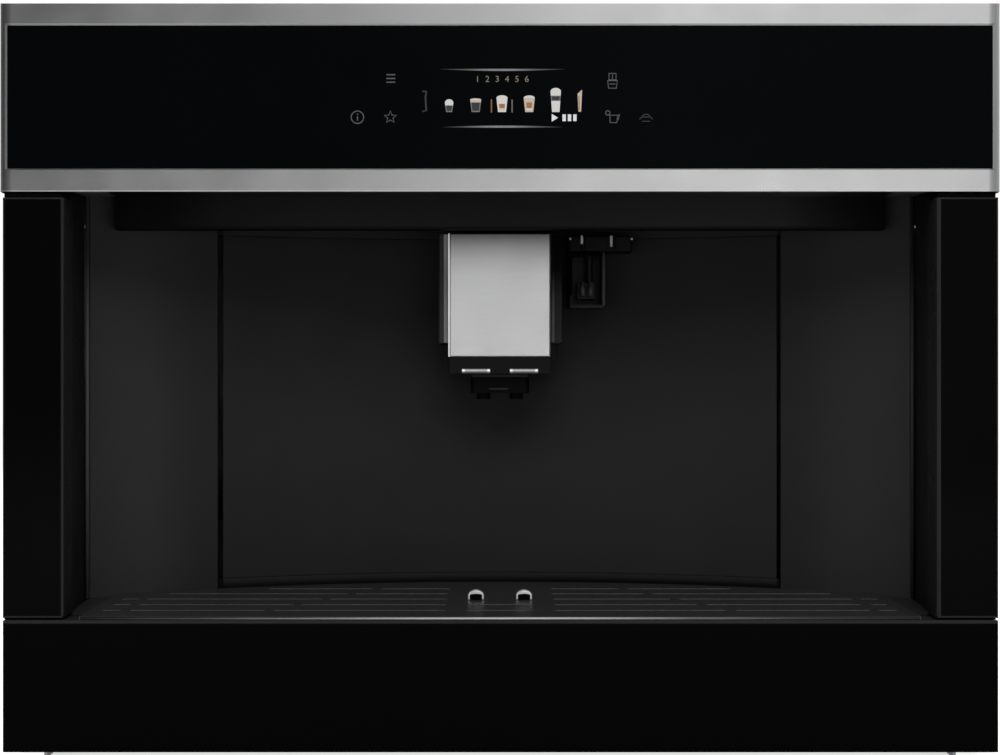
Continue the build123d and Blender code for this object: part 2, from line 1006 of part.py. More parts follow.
def cup_grille():
    """Cup grille with five rows of slots and a rim that drops into the basin."""
    half = grille_half_width
    body = before_arc(-half, half, grille_front, grille_radius, panel_top, grille_top)
    front = body.faces().sort_by(Axis.Y)[0].edges().sort_by(Axis.Z)[-1]
    body = fillet(front, grille_thickness * 0.4)
    gap = basin_wall + slide_gap
    rim_half = basin_half - gap
    rim_front = panel_depth + gap
    low = panel_top - locating_rim
    rim = before_arc(-rim_half, rim_half, rim_front, basin_radius - gap, low, panel_top)
    rim = fillet(upright_edges(rim).group_by(Axis.Y)[0], basin_corner - basin_wall)
    wall = basin_wall
    rim -= before_arc(
        wall - rim_half,
        rim_half - wall,
        rim_front + wall,
        basin_radius - gap - wall,
        low,
        panel_top,
    )
    body += rim
    for row in range(slot_rows):
        depth = slot_first_depth + row * slot_pitch
        end = row_end(depth)
        land = land_first - row * land_step
        stops = [slot_inner_end, land - slot_land / 2, land + slot_land / 2]
        if end > land_outer + 2 * slot_width:
            stops += [land_outer - slot_land / 2, land_outer + slot_land / 2]
        stops.append(end)
        for start, stop in zip(stops[::2], stops[1::2]):
            body -= grille_slot(start, stop, depth)
            body -= grille_slot(-stop, -start, depth)
        if row < middle_slot_rows:
            body -= grille_slot(-middle_slot_half, middle_slot_half, depth)
    for x in (-dome_x, dome_x):
        body -= post(x, dome_depth, dome_radius - dome_wall, low, grille_top)
    return body


def drain_domes():
    """Two small domed inlets on the grille, each with an arched mouth at the front."""
    domes = []
    for x in (-dome_x, dome_x):
        foot = dome_height - dome_radius
        middle = Pos(x, front_y + dome_depth, grille_top + foot)
        body = post(x, dome_depth, dome_radius, grille_top, grille_top + foot)
        body += middle * Sphere(dome_radius)
        inner = dome_radius - dome_wall
        hollow = post(x, dome_depth, inner, grille_top - foot, grille_top + foot)
        hollow += middle * Sphere(inner)
        keep = span(
            x - dome_radius,
            x + dome_radius,
            dome_depth - dome_radius,
            dome_depth + dome_radius,
            grille_top,
            grille_top + dome_height,
        )
        mouth = span(
            x - dome_mouth_half,
            x + dome_mouth_half,
            dome_depth - 2 * dome_radius,
            dome_depth,
            grille_top,
            grille_top + dome_mouth_height,
        )
        body = (body & keep) - hollow - mouth
        domes += body.solids()
    return Compound(domes)


# ---------------------------------------------------------------- rails and chassis


def channel(x0, x1, z0, z1, wall, d0, d1):
    """A rail member: a channel with its web at x0 and its flanges towards x1."""
    low_x = min(x0, x1)
    high_x = max(x0, x1)
    body = span(low_x, high_x, d0, d1, z0, z1)
    towards = 1 if x1 > x0 else -1
    hollow_x = x0 + towards * wall
    left = min(hollow_x, x1)
    right = max(hollow_x, x1)
    return body - span(left, right, d0, d1, z0 + wall, z1 - wall)


member_step = rail_sheet + rail_gap


def rail_brackets():
    """Angle brackets screwed to the cabinet shelf, each with two screw holes."""
    body = span(rail_outer, bracket_outer, rail_front, rail_back, 0, rail_top)
    foot_in = bracket_outer - bracket_foot
    body += span(foot_in, bracket_outer, bracket_foot_front, rail_back, 0, bracket_sheet)
    for depth in (mount_first_depth, mount_first_depth + mount_spacing_y):
        body -= post(mount_spacing_x / 2, depth, mount_hole_radius, 0, bracket_sheet)
    return both_sides(body)


def rail_outer_members():
    """Fixed channels of the two telescopic rails."""
    reach = rail_outer - rail_space + 2 * member_step
    return both_sides(
        channel(rail_outer, reach, rail_bottom, rail_top, rail_sheet, rail_front, rail_back)
    )


def rail_middle_members():
    """Channels that run half the way."""
    web = rail_outer - member_step
    reach = rail_outer - rail_space + member_step
    low = rail_bottom + member_step
    high = rail_top - member_step
    return both_sides(channel(web, reach, low, high, rail_sheet, rail_front, rail_back))


def rail_inner_members():
    """Channels screwed to the machine's sides."""
    reach = rail_outer - 2 * member_step
    low = rail_bottom + 2 * member_step
    high = rail_top - 2 * member_step
    return both_sides(
        channel(chassis_outer, reach, low, high, rail_sheet, rail_front, rail_back)
    )


def front_frame():
    """Pressed steel frame that carries the head, the columns and the niche."""
    front = frame_back - frame_sheet
    body = centred(
        half_width - frame_side_inset, front, frame_back, rail_bottom, height - frame_top_inset
    )
    niche_half = cheek_start + cheek_thickness + frame_niche_gap
    niche_high = head_bottom + frame_head_lap
    body -= centred(niche_half, front, frame_back, shelf_bottom, niche_high)
    box_half = head_box_width / 2 + slide_gap
    return body - centred(
        box_half, front, frame_back, box_bottom - slide_gap, box_top + slide_gap
    )


def side_walls():
    """Side sheets of the chassis, stepped inwards beside the rails."""
    body = span(chassis_inner, chassis_outer, frame_back, chassis_back, pan_bottom, floor_bottom)
    body += span(chassis_inner, upper_outer, frame_back, chassis_back, joggle_bottom, floor_bottom)
    body += span(upper_inner, upper_outer, frame_back, chassis_back, joggle_bottom, chassis_top)
    flange = upper_outer - wall_flange
    body += span(flange, upper_outer, frame_back, chassis_back, chassis_top - sheet, chassis_top)
    return both_sides(body)


def base_pan():
    """Bottom sheet with turned up front and rear edges and stiffening beads."""
    top = pan_bottom + sheet
    lip = pan_bottom + pan_drop
    body = centred(chassis_inner, frame_back, chassis_back, pan_bottom, top)
    body += centred(chassis_inner, chassis_back - sheet, chassis_back, pan_bottom, lip)
    front_high = rail_bottom + pan_front_rise
    body += centred(chassis_inner, frame_back, frame_back + sheet, pan_bottom, front_high)
    start = frame_back + bead_end_inset
    stop = chassis_back - bead_end_inset
    for number in range(-2, 3):
        left = number * panel_rib_pitch - bead_half_width
        right = number * panel_rib_pitch + bead_half_width
        body += span(left, right, start, stop, top, top + bead_height)
    return body


def rear_panel():
    """Rear sheet, narrower beside the rails, with vents and the hole for the mains inlet."""
    body = centred(upper_outer, chassis_back, machine_depth, pan_bottom, chassis_top)
    notch = span(
        chassis_outer, upper_outer, chassis_back, machine_depth, pan_bottom, joggle_bottom
    )
    body -= both_sides(notch)
    body -= span(
        inlet_x - inlet_width / 2,
        inlet_x + inlet_width / 2,
        chassis_back,
        machine_depth,
        inlet_z - inlet_height / 2,
        inlet_z + inlet_height / 2,
    )
    for x in (-half_width / 3, half_width / 3):
        for cut in vents_through(x, vent_middle_z, machine_depth):
            body -= cut
    return body


def top_cover():
    """Top sheet with the openings for the hopper, the funnel and the grind adjuster."""
    front = head_box_depth + cover_front_gap
    body = centred(upper_outer, front, machine_depth, chassis_top, cover_top)
    throat = grinder_inlet + throat_wall + throat_gap
    body -= post(0, grinder_depth, throat, chassis_top, cover_top)
    half_x = duct_width / 2 + slide_gap
    half_d = duct_length / 2 + slide_gap
    body -= centred(
        half_x, powder_depth - half_d, powder_depth + half_d, chassis_top, cover_top
    )
    shaft = knob_shaft + run_fit
    body -= post(knob_x, grinder_depth, shaft, chassis_top, cover_top)
    slot = SlotOverall(vent_length, vent_width)
    board_middle = board_left + board_width / 2 + vent_length / 2
    for number in range(cover_vents):
        step = (number - (cover_vents - 1) / 2) * vent_pitch
        depth = board_front + board_length / 2 + step
        place = Pos(board_middle, front_y + depth) * slot
        body -= raised(place, chassis_top, cover_top)
    return body


def mid_deck():
    """Deck above the service bay, its front edge on the niche arc."""
    body = behind_arc(-upper_inner, upper_inner, wall_radius, chassis_back, deck_bottom, deck_top)
    body -= post(hinge_x, hinge_depth, hinge_pin_radius, deck_bottom, deck_top)
    half_x = duct_width / 2 + slide_gap
    half_d = duct_length / 2 + slide_gap
    return body - centred(
        half_x, powder_depth - half_d, powder_depth + half_d, deck_bottom, deck_top
    )


def service_floor():
    """Floor of the service bay, its front edge on the niche arc."""
    return behind_arc(
        -upper_inner, upper_inner, wall_radius, chassis_back, floor_bottom, floor_top
    )


def tray_shelf():
    """Shelf that the drip basin runs on, with a guide at each side."""
    body = centred(chassis_inner, frame_back, shelf_depth, shelf_bottom, shelf_top)
    start = basin_half + slide_gap
    stop = start + guide_upstand_wall
    back = arc_depth(stop, niche_radius)
    guide = span(
        start,
        stop,
        frame_back + guide_end_gap,
        back - guide_end_gap,
        shelf_top,
        shelf_top + guide_upstand,
    )
    return body + guide + mirror(guide, about=Plane.YZ)


partition_inner = partition_x - partition_sheet / 2
partition_outer = partition_x + partition_sheet / 2


def service_partitions():
    """Upright sheets each side of the brew unit."""
    return both_sides(
        span(partition_inner, partition_outer, bay_front, bay_back, floor_top, deck_bottom)
    )


switch_depth = bay_front + switch_pivot_gap


def service_cover():
    """Cover over the heating side of the service bay, with the mains switch in it."""
    front = bay_front - cover_sheet
    left = door_left + liner_side_inset
    body = span(left, -partition_inner, front, bay_front, floor_top, deck_bottom)
    half_w = switch_width / 2 + slide_gap
    half_h = switch_height / 2 + switch_gap
    body -= span(
        switch_x - half_w, switch_x + half_w, front, bay_front, switch_z - half_h, switch_z + half_h
    )
    for side in (-1, 1):
        middle = switch_x + side * (half_w + switch_lug / 2)
        lug = span(
            middle - switch_lug / 2,
            middle + switch_lug / 2,
            bay_front,
            switch_depth + switch_lug_reach,
            switch_z - switch_lug_half_height,
            switch_z + switch_lug_half_height,
        )
        body += lug
    end = half_w + switch_lug
    hole = switch_pivot_radius + run_fit
    return body - cross_bar(switch_x - end, switch_x + end, switch_depth, switch_z, hole)


def main_switch():
    """Rocker of the mains switch on its pivot."""
    front = bay_front - cover_sheet - switch_proud
    back = switch_depth + switch_tail
    half_h = switch_height / 2
    outline = [
        (front, switch_z - half_h),
        (front - switch_crown, switch_z),
        (front, switch_z + half_h),
        (back, switch_z + switch_tail_half),
        (back, switch_z - switch_tail_half),
    ]
    corners = [(0, front_y + depth, z) for depth, z in outline]
    face = make_face(Polyline(*corners, close=True))
    half_w = switch_width / 2
    body = extrude(Pos(switch_x - half_w, 0, 0) * face, amount=switch_width, dir=(1, 0, 0))
    end = half_w + slide_gap + switch_lug
    return body + cross_bar(
        switch_x - end, switch_x + end, switch_depth, switch_z, switch_pivot_radius
    )


def mains_inlet():
    """Mains socket in the rear panel with its three pins."""
    half_w = inlet_width / 2
    half_h = inlet_height / 2
    front = machine_depth - inlet_depth
    body = span(
        inlet_x - half_w, inlet_x + half_w, front, machine_depth, inlet_z - half_h, inlet_z + half_h
    )
    body += span(
        inlet_x - half_w - inlet_flange,
        inlet_x + half_w + inlet_flange,
        chassis_back - inlet_flange_thickness,
        chassis_back,
        inlet_z - half_h,
        inlet_z + half_h,
    )
    wall = inlet_wall
    bottom = front + inlet_bottom
    body -= span(
        inlet_x - half_w + wall,
        inlet_x + half_w - wall,
        bottom,
        machine_depth,
        inlet_z - half_h + wall,
        inlet_z + half_h - wall,
    )
    for number in (-1, 0, 1):
        x = inlet_x + number * inlet_pin_pitch
        z = inlet_z + (inlet_pin_low if number else inlet_earth_rise)
        body += span(
            x - inlet_pin_half_width,
            x + inlet_pin_half_width,
            bottom,
            machine_depth - inlet_bottom,
            z - inlet_pin_half_height,
            z + inlet_pin_half_height,
        )
    return body


# ---------------------------------------------------------------- water and brewing

tank_right = tank_left + tank_width
tank_top = deck_bottom - tank_top_gap
stub_z = floor_top + stub_rise


def water_tank():
    """Water tank with its outlet stub at the rear."""
    body = span(tank_left, tank_right, bay_front, bay_back, floor_top, tank_top)
    body = fillet(upright_edges(body), tank_corner)
    wall = tank_wall
    hollow = span(
        tank_left + wall,
        tank_right - wall,
        bay_front + wall,
        bay_back - wall,
        floor_top + wall,
        tank_top,
    )
    body -= fillet(upright_edges(hollow), tank_corner - wall)
    middle = (tank_left + tank_right) / 2
    outlet = Plane.XZ * Circle(stub_radius)
    place = Pos(middle, front_y + bay_back, stub_z)
    return body + extrude(place * outlet, amount=stub_length, dir=(0, 1, 0))


def tank_lid():
    """Lid of the water tank with a finger hole."""
    high = tank_top + lid_thickness
    body = span(tank_left, tank_right, bay_front, bay_back, tank_top, high)
    body = fillet(upright_edges(body), tank_corner)
    inset = tank_wall + slide_gap
    rim = span(
        tank_left + inset,
        tank_right - inset,
        bay_front + inset,
        bay_back - inset,
        tank_top - lid_thickness,
        tank_top,
    )
    body += fillet(upright_edges(rim), tank_corner - tank_wall)
    middle = (tank_left + tank_right) / 2
    grip = Pos(middle, front_y + bay_front + grip_depth) * SlotOverall(grip_length, grip_width)
    return body - raised(grip, tank_top - lid_thickness, high)


def water_hose():
    """Hose from the tank's outlet to the pump."""
    middle = (tank_left + tank_right) / 2
    pump_end = -pump_left + pump_length
    start = (middle, front_y + bay_back + stub_length, stub_z)
    corner = (middle, front_y + pump_depth, stub_z)
    finish = (pump_end, front_y + pump_depth, stub_z)
    path = FilletPolyline(start, corner, finish, radius=hose_bend)
    section = Plane(origin=start, z_dir=(0, 1, 0)) * Circle(stub_radius)
    return sweep(section, path=path)


def pump():
    """Water pump lying along the width, with its foot on the floor."""
    end = -pump_left + pump_length
    body = cross_bar(-pump_left, end, pump_depth, stub_z, pump_end_radius)
    body += cross_bar(
        pump_coil_inset - pump_left, end - pump_coil_inset, pump_depth, stub_z, pump_coil_radius
    )
    body += span(
        pump_foot_inset - pump_left,
        end - pump_foot_inset,
        pump_depth - pump_foot_half,
        pump_depth + pump_foot_half,
        floor_top,
        stub_z,
    )
    return body


def thermoblock():
    """Cast heater block with cooling fins and pipe stubs."""
    right = -block_left + block_width
    back = block_front + block_length
    low = floor_top
    high = low + block_height
    body = span(-block_left, right, block_front, back, low, high)
    body = fillet(upright_edges(body), block_corner)
    pitch = block_width / (fin_count + 1)
    for number in range(1, fin_count + 1):
        x = -block_left + number * pitch
        body += span(
            x - fin_thickness / 2,
            x + fin_thickness / 2,
            block_front + fin_inset,
            back - fin_inset,
            high,
            high + fin_height,
        )
    for x in (-block_left + block_width / 4, right - block_width / 4):
        place = Pos(x, front_y + back, low + block_height / 2)
        stub = place * (Plane.XZ * Circle(stub_radius))
        body += extrude(stub, amount=block_stub, dir=(0, 1, 0))
    return body


def grounds_container():
    """Open container for the used coffee, with a pull lip at the front."""
    half = container_half_width
    back = bay_front + container_length
    high = floor_top + container_height
    body = centred(half, bay_front, back, floor_top, high)
    body = fillet(upright_edges(body), tank_corner)
    wall = container_wall
    hollow = centred(half - wall, bay_front + wall, back - wall, floor_top + wall, high)
    return body - fillet(upright_edges(hollow), tank_corner - wall)


brew_front = bay_front + brew_front_gap
brew_back = brew_front + brew_length
chamber_low = brew_base + chamber_rise
chamber_high = chamber_low + chamber_height
spindle_depth = powder_depth + spindle_behind
carriage_high = chamber_low - piston_travel - carriage_gap
carriage_low = carriage_high - carriage_thickness


def brew_frame():
    """Frame of the brew unit with the brew chamber between its side plates."""
    inner = brew_half_width - brew_plate
    base_top = brew_base + brew_base_sheet
    body = centred(partition_inner, brew_front, brew_back, brew_base, base_top)
    for side in (-1, 1):
        left = min(side * inner, side * brew_half_width)
        body += span(left, left + brew_plate, brew_front, brew_back, brew_base, brew_top)
    body += centred(
        brew_half_width, brew_front, brew_back, brew_top - brew_plate, brew_top
    )
    outer = chamber_radius + chamber_wall
    body += centred(
        inner,
        powder_depth - outer / 2,
        powder_depth + outer / 2,
        chamber_low,
        chamber_low + brew_cross_thickness,
    )
    body += post(0, powder_depth, outer, chamber_low, chamber_high)
    body -= post(0, powder_depth, chamber_radius, chamber_low, chamber_high)
    opening = duct_width / 2
    body -= centred(
        opening,
        powder_depth - duct_length / 2,
        powder_depth + duct_length / 2,
        brew_top - brew_plate,
        brew_top,
    )
    bore = spindle_radius + run_fit
    return body - post(0, spindle_depth, bore, base_top - brew_pocket, brew_top)


def brew_piston():
    """Piston under the brew chamber on the carriage that the spindle lifts."""
    inner = brew_half_width - brew_plate - slide_gap
    body = centred(
        inner,
        powder_depth - chamber_radius,
        spindle_depth + 3 * spindle_radius,
        carriage_low,
        carriage_high,
    )
    body = fillet(upright_edges(body), spindle_radius)
    head = chamber_radius - run_fit
    body += post(0, powder_depth, head, carriage_high, carriage_high + piston_height)
    boss_high = carriage_high + carriage_boss
    body += post(0, spindle_depth, 2 * spindle_radius, carriage_high, boss_high)
    bore = spindle_radius + run_fit
    return body - post(0, spindle_depth, bore, carriage_low, boss_high)


def brew_spindle():
    """Lifting spindle with its toothed wheel above the frame."""
    spindle_low = brew_base + brew_base_sheet - brew_pocket + slide_gap
    wheel_low = brew_top + slide_gap
    wheel_high = wheel_low + spindle_gear_height
    body = post(0, spindle_depth, spindle_radius, spindle_low, wheel_low)
    body += post(0, spindle_depth, spindle_gear_radius, wheel_low, wheel_high)
    gap = spindle_gear_radius * math.pi / spindle_gear_teeth / 2
    for number in range(spindle_gear_teeth):
        angle = 2 * math.pi * number / spindle_gear_teeth
        x = spindle_gear_radius * math.cos(angle)
        depth = spindle_depth + spindle_gear_radius * math.sin(angle)
        body -= post(x, depth, gap, wheel_low, wheel_high)
    return body


# ---------------------------------------------------------------- coffee and electrics

grinder_top = chassis_top - grinder_top_gap
burr_low = deck_top + burr_floor
hopper_top = cover_top + hopper_height


def grinder_body():
    """Grinder housing with its burr cavity and the chute to the powder duct."""
    body = post(0, grinder_depth, grinder_radius, deck_top, grinder_top)
    cavity_high = burr_low + burr_height + cavity_gap
    body -= post(0, grinder_depth, grinder_cavity, burr_low, cavity_high)
    body -= post(0, grinder_depth, grinder_inlet, burr_low, grinder_top)
    shaft_low = burr_low - burr_shaft_length - brew_pocket / 2
    body -= post(0, grinder_depth, burr_shaft + run_fit, shaft_low, burr_low)
    duct_back = powder_depth + duct_length / 2 + slide_gap
    chute = centred(
        chute_width / 2,
        duct_back,
        grinder_depth - chute_entry,
        burr_low - chute_height / 2,
        burr_low + chute_height / 2,
    )
    return body + chute


def burr_cone():
    """Conical burr with its flutes and drive shaft."""
    low = burr_low + slide_gap
    corners = [(0, 0), (burr_radius, 0), (burr_top_radius, burr_height), (0, burr_height)]
    outline = Polyline(*corners, close=True)
    cone = revolve(Plane.XZ * make_face(outline), axis=Axis.Z)
    place = Pos(0, front_y + grinder_depth, low)
    body = place * cone
    lean = math.degrees(math.atan2(burr_radius - burr_top_radius, burr_height))
    middle = Pos((burr_radius + burr_top_radius) / 2, 0, burr_height / 2)
    for number in range(burr_flutes):
        turn = Rot(0, 0, 360 * number / burr_flutes)
        groove = middle * Rot(0, -lean, 0) * Cylinder(burr_groove, 2 * burr_height)
        body -= place * turn * groove
    return body + post(0, grinder_depth, burr_shaft, burr_low - burr_shaft_length, low)


def bean_hopper():
    """Bean hopper whose walls funnel down to the grinder's inlet."""
    half = hopper_half_width
    body = centred(half, hopper_front, hopper_back, cover_top, hopper_top)
    body = fillet(upright_edges(body), tank_corner)
    wall = hopper_wall
    middle = front_y + (hopper_front + hopper_back) / 2
    mouth = Pos(0, middle, hopper_top) * RectangleRounded(
        2 * (half - wall), hopper_back - hopper_front - 2 * wall, tank_corner - wall
    )
    inlet = Pos(0, front_y + grinder_depth, cover_top + wall) * Circle(grinder_inlet)
    body -= loft([inlet, mouth])
    body += post(0, grinder_depth, grinder_inlet + throat_wall, grinder_top, cover_top)
    body -= post(0, grinder_depth, grinder_inlet, grinder_top, cover_top + wall)
    return hinge_lugs(body, hopper_back, hopper_top, hinge_lug_x)


def lid_axis(back, top):
    """Depth and height of a lid's hinge axis behind a container."""
    return back + lid_axis_behind, top + lid_axis_rise


def hinge_lugs(body, back, top, lug_x):
    """Adds the two ears, round about the axis, that hold a lid's hinge pins."""
    depth, z = lid_axis(back, top)
    for side in (-1, 1):
        left = min(side * lug_x, side * (lug_x + hinge_lug_width))
        right = left + hinge_lug_width
        body += span(left, right, back, depth + hinge_lug_radius, top - hinge_lug_drop, z)
        body += cross_bar(left, right, depth, z, hinge_lug_radius)
    end = lug_x + hinge_lug_width
    return body - cross_bar(-end, end, depth, z, lid_pin_radius + run_fit)


def hinged_lid(half, front, back, top, lug_x):
    """Flat lid over a container with its barrel and pins behind."""
    depth, z = lid_axis(back, top)
    low = top + slide_gap
    high = low + lid_thickness
    body = centred(half, front, back - 2 * slide_gap, low, high)
    body = fillet(upright_edges(body), lid_corner)
    barrel_end = lug_x - slide_gap
    body += centred(barrel_end, back - tank_corner, depth, low, high)
    body += cross_bar(-barrel_end, barrel_end, depth, z, lid_barrel)
    end = lug_x + hinge_lug_width
    return body + cross_bar(-end, end, depth, z, lid_pin_radius)


def hopper_lid():
    """Lid of the bean hopper."""
    half = hopper_half_width + lid_overhang
    return hinged_lid(half, hopper_front - lid_overhang, hopper_back, hopper_top, hinge_lug_x)


funnel_front = powder_depth - funnel_length / 2
funnel_back = powder_depth + funnel_length / 2
funnel_top = cover_top + funnel_height
funnel_lug_x = funnel_half_width - hinge_lug_width


def powder_funnel():
    """Funnel for ground coffee with the duct down to the brew unit."""
    body = centred(funnel_half_width, funnel_front, funnel_back, cover_top, funnel_top)
    body = fillet(upright_edges(body), lid_corner)
    wall = funnel_wall
    inner_w = duct_width - 2 * duct_wall
    inner_l = duct_length - 2 * duct_wall
    centre = Pos(0, front_y + powder_depth)
    mouth = Pos(0, front_y + powder_depth, funnel_top) * Rectangle(
        2 * (funnel_half_width - wall), funnel_length - 2 * wall
    )
    throat = Pos(0, front_y + powder_depth, cover_top + wall) * Rectangle(inner_w, inner_l)
    body -= loft([throat, mouth])
    low = brew_top + slide_gap
    body += raised(centre * Rectangle(duct_width, duct_length), low, cover_top)
    body -= raised(centre * Rectangle(inner_w, inner_l), low, cover_top + wall)
    return hinge_lugs(body, funnel_back, funnel_top, funnel_lug_x)


def funnel_lid():
    """Lid of the ground coffee funnel."""
    return hinged_lid(funnel_half_width, funnel_front, funnel_back, funnel_top, funnel_lug_x)


def grind_knob():
    """Fluted knob that sets the grinder."""
    low = cover_top + slide_gap
    high = low + knob_height
    body = post(knob_x, grinder_depth, knob_radius, low, high)
    body = chamfer(body.edges().sort_by(Axis.Z)[-1], knob_chamfer)
    for number in range(knob_flutes):
        angle = 2 * math.pi * number / knob_flutes
        x = knob_x + knob_radius * math.cos(angle)
        depth = grinder_depth + knob_radius * math.sin(angle)
        body -= post(x, depth, knob_flute, low, high)
    return body + post(knob_x, grinder_depth, knob_shaft, chassis_top - knob_shaft_drop, low)


def power_board():
    """Power board on its standoffs with the parts soldered on it."""
    right = board_left + board_width
    back = board_front + board_length
    low = deck_top + board_rise
    high = low + board_thickness
    body = span(board_left, right, board_front, back, low, high)
    for x in (board_left + standoff_inset, right - standoff_inset):
        for depth in (board_front + standoff_inset, back - standoff_inset):
            body += post(x, depth, standoff_radius, deck_top, low)
    coil_right = right - coil_inset
    coil_front = board_front + coil_inset
    body += span(
        coil_right - coil_width,
        coil_right,
        coil_front,
        coil_front + coil_length,
        high,
        high + coil_height,
    )
    for number in range(3):
        x = board_left + capacitor_inset + number * capacitor_pitch
        top = high + capacitor_height
        body += post(x, back - capacitor_inset, capacitor_radius, high, top)
    for number in range(4):
        x = board_left + (number + 1) * relay_pitch
        depth = board_front + relay_front
        body += span(x, x + relay_width, depth, depth + relay_length, high, high + relay_height)
    return body


pieces = {
    "rail_brackets": rail_brackets(),
    "rail_outer_members": rail_outer_members(),
    "rail_middle_members": rail_middle_members(),
    "rail_inner_members": rail_inner_members(),
    "base_pan": base_pan(),
    "side_walls": side_walls(),
    "rear_panel": rear_panel(),
    "top_cover": top_cover(),
    "mid_deck": mid_deck(),
    "service_floor": service_floor(),
    "front_frame": front_frame(),
    "tray_shelf": tray_shelf(),
    "service_partitions": service_partitions(),
    "service_cover": service_cover(),
    "main_switch": main_switch(),
    "mains_inlet": mains_inlet(),
    "column_right": column(),
    "column_left": mirror(column(), about=Plane.YZ),
    "niche_cheeks": niche_cheeks(),
    "niche_panel_left": niche_panel(-wall_end, -wall_left_edge),
    "niche_panel_right": niche_panel(wall_right_edge, wall_end),
    "niche_sill": niche_sill(),
    "niche_header": niche_header(),
    "niche_ceiling": niche_ceiling(),
    "upper_bar": upper_bar(),
    "control_frame": control_frame(),
    "control_glass": control_glass(),
    "control_housing": control_housing(),
    "display_module": display_module(),
    "door_panel": door_panel(),
    "door_liner": door_liner(),
    "door_hinge": door_hinge(),
    "spout_housing": spout_housing(),
    "spout_body": spout_body(),
    "spout_plate": spout_plate(),
    "spout_lights": spout_lights(),
    "nozzle_holder": nozzle_holder(),
    "water_spout": water_spout(),
    "lower_panel": lower_panel(),
    "drip_basin": drip_basin(),
    "cup_grille": cup_grille(),
    "drain_domes": drain_domes(),
    "water_tank": water_tank(),
    "tank_lid": tank_lid(),
    "water_hose": water_hose(),
    "pump": pump(),
    "thermoblock": thermoblock(),
    "grounds_container": grounds_container(),
    "brew_frame": brew_frame(),
    "brew_piston": brew_piston(),
    "brew_spindle": brew_spindle(),
    "grinder_body": grinder_body(),
    "burr_cone": burr_cone(),
    "bean_hopper": bean_hopper(),
    "hopper_lid": hopper_lid(),
    "powder_funnel": powder_funnel(),
    "funnel_lid": funnel_lid(),
    "grind_knob": grind_knob(),
    "power_board": power_board(),
}

os.makedirs("parts", exist_ok=True)
for name, piece in pieces.items():
    export_step(piece, f"parts/{name}.step")
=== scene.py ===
import math

import bmesh
import bpy
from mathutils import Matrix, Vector


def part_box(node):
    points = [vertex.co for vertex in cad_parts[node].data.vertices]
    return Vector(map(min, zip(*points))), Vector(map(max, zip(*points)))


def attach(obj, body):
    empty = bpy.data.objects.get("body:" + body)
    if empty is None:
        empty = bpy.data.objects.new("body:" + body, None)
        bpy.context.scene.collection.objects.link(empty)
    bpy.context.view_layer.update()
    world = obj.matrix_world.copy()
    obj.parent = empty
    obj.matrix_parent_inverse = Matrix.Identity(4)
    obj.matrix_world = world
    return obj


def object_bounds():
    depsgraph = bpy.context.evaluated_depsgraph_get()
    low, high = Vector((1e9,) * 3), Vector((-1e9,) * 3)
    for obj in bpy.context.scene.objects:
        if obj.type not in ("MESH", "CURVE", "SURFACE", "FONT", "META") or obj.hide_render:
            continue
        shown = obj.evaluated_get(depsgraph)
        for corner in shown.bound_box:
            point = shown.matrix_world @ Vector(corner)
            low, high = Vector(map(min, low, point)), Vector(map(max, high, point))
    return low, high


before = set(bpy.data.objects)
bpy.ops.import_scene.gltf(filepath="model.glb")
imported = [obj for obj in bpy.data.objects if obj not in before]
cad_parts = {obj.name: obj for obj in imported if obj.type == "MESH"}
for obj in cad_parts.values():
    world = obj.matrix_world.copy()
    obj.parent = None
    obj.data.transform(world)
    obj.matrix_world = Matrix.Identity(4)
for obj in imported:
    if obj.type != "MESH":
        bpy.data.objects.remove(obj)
cad_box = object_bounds()

MM = 0.001
FRONT = cad_box[0].y


def at(x, depth, z):
    """A point from millimetres of width, depth behind the front plane and height."""
    return Vector((x * MM, FRONT + depth * MM, z * MM))


def ends(node):
    """A node's ends in width, in depth behind the front plane and in height, in mm."""
    low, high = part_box(node)
    depth = ((low.y - FRONT) / MM, (high.y - FRONT) / MM)
    return (low.x / MM, high.x / MM), depth, (low.z / MM, high.z / MM)


GLASS_FACE = ends("control_glass")[1][0]


# ------------------------------------------------------------------ materials


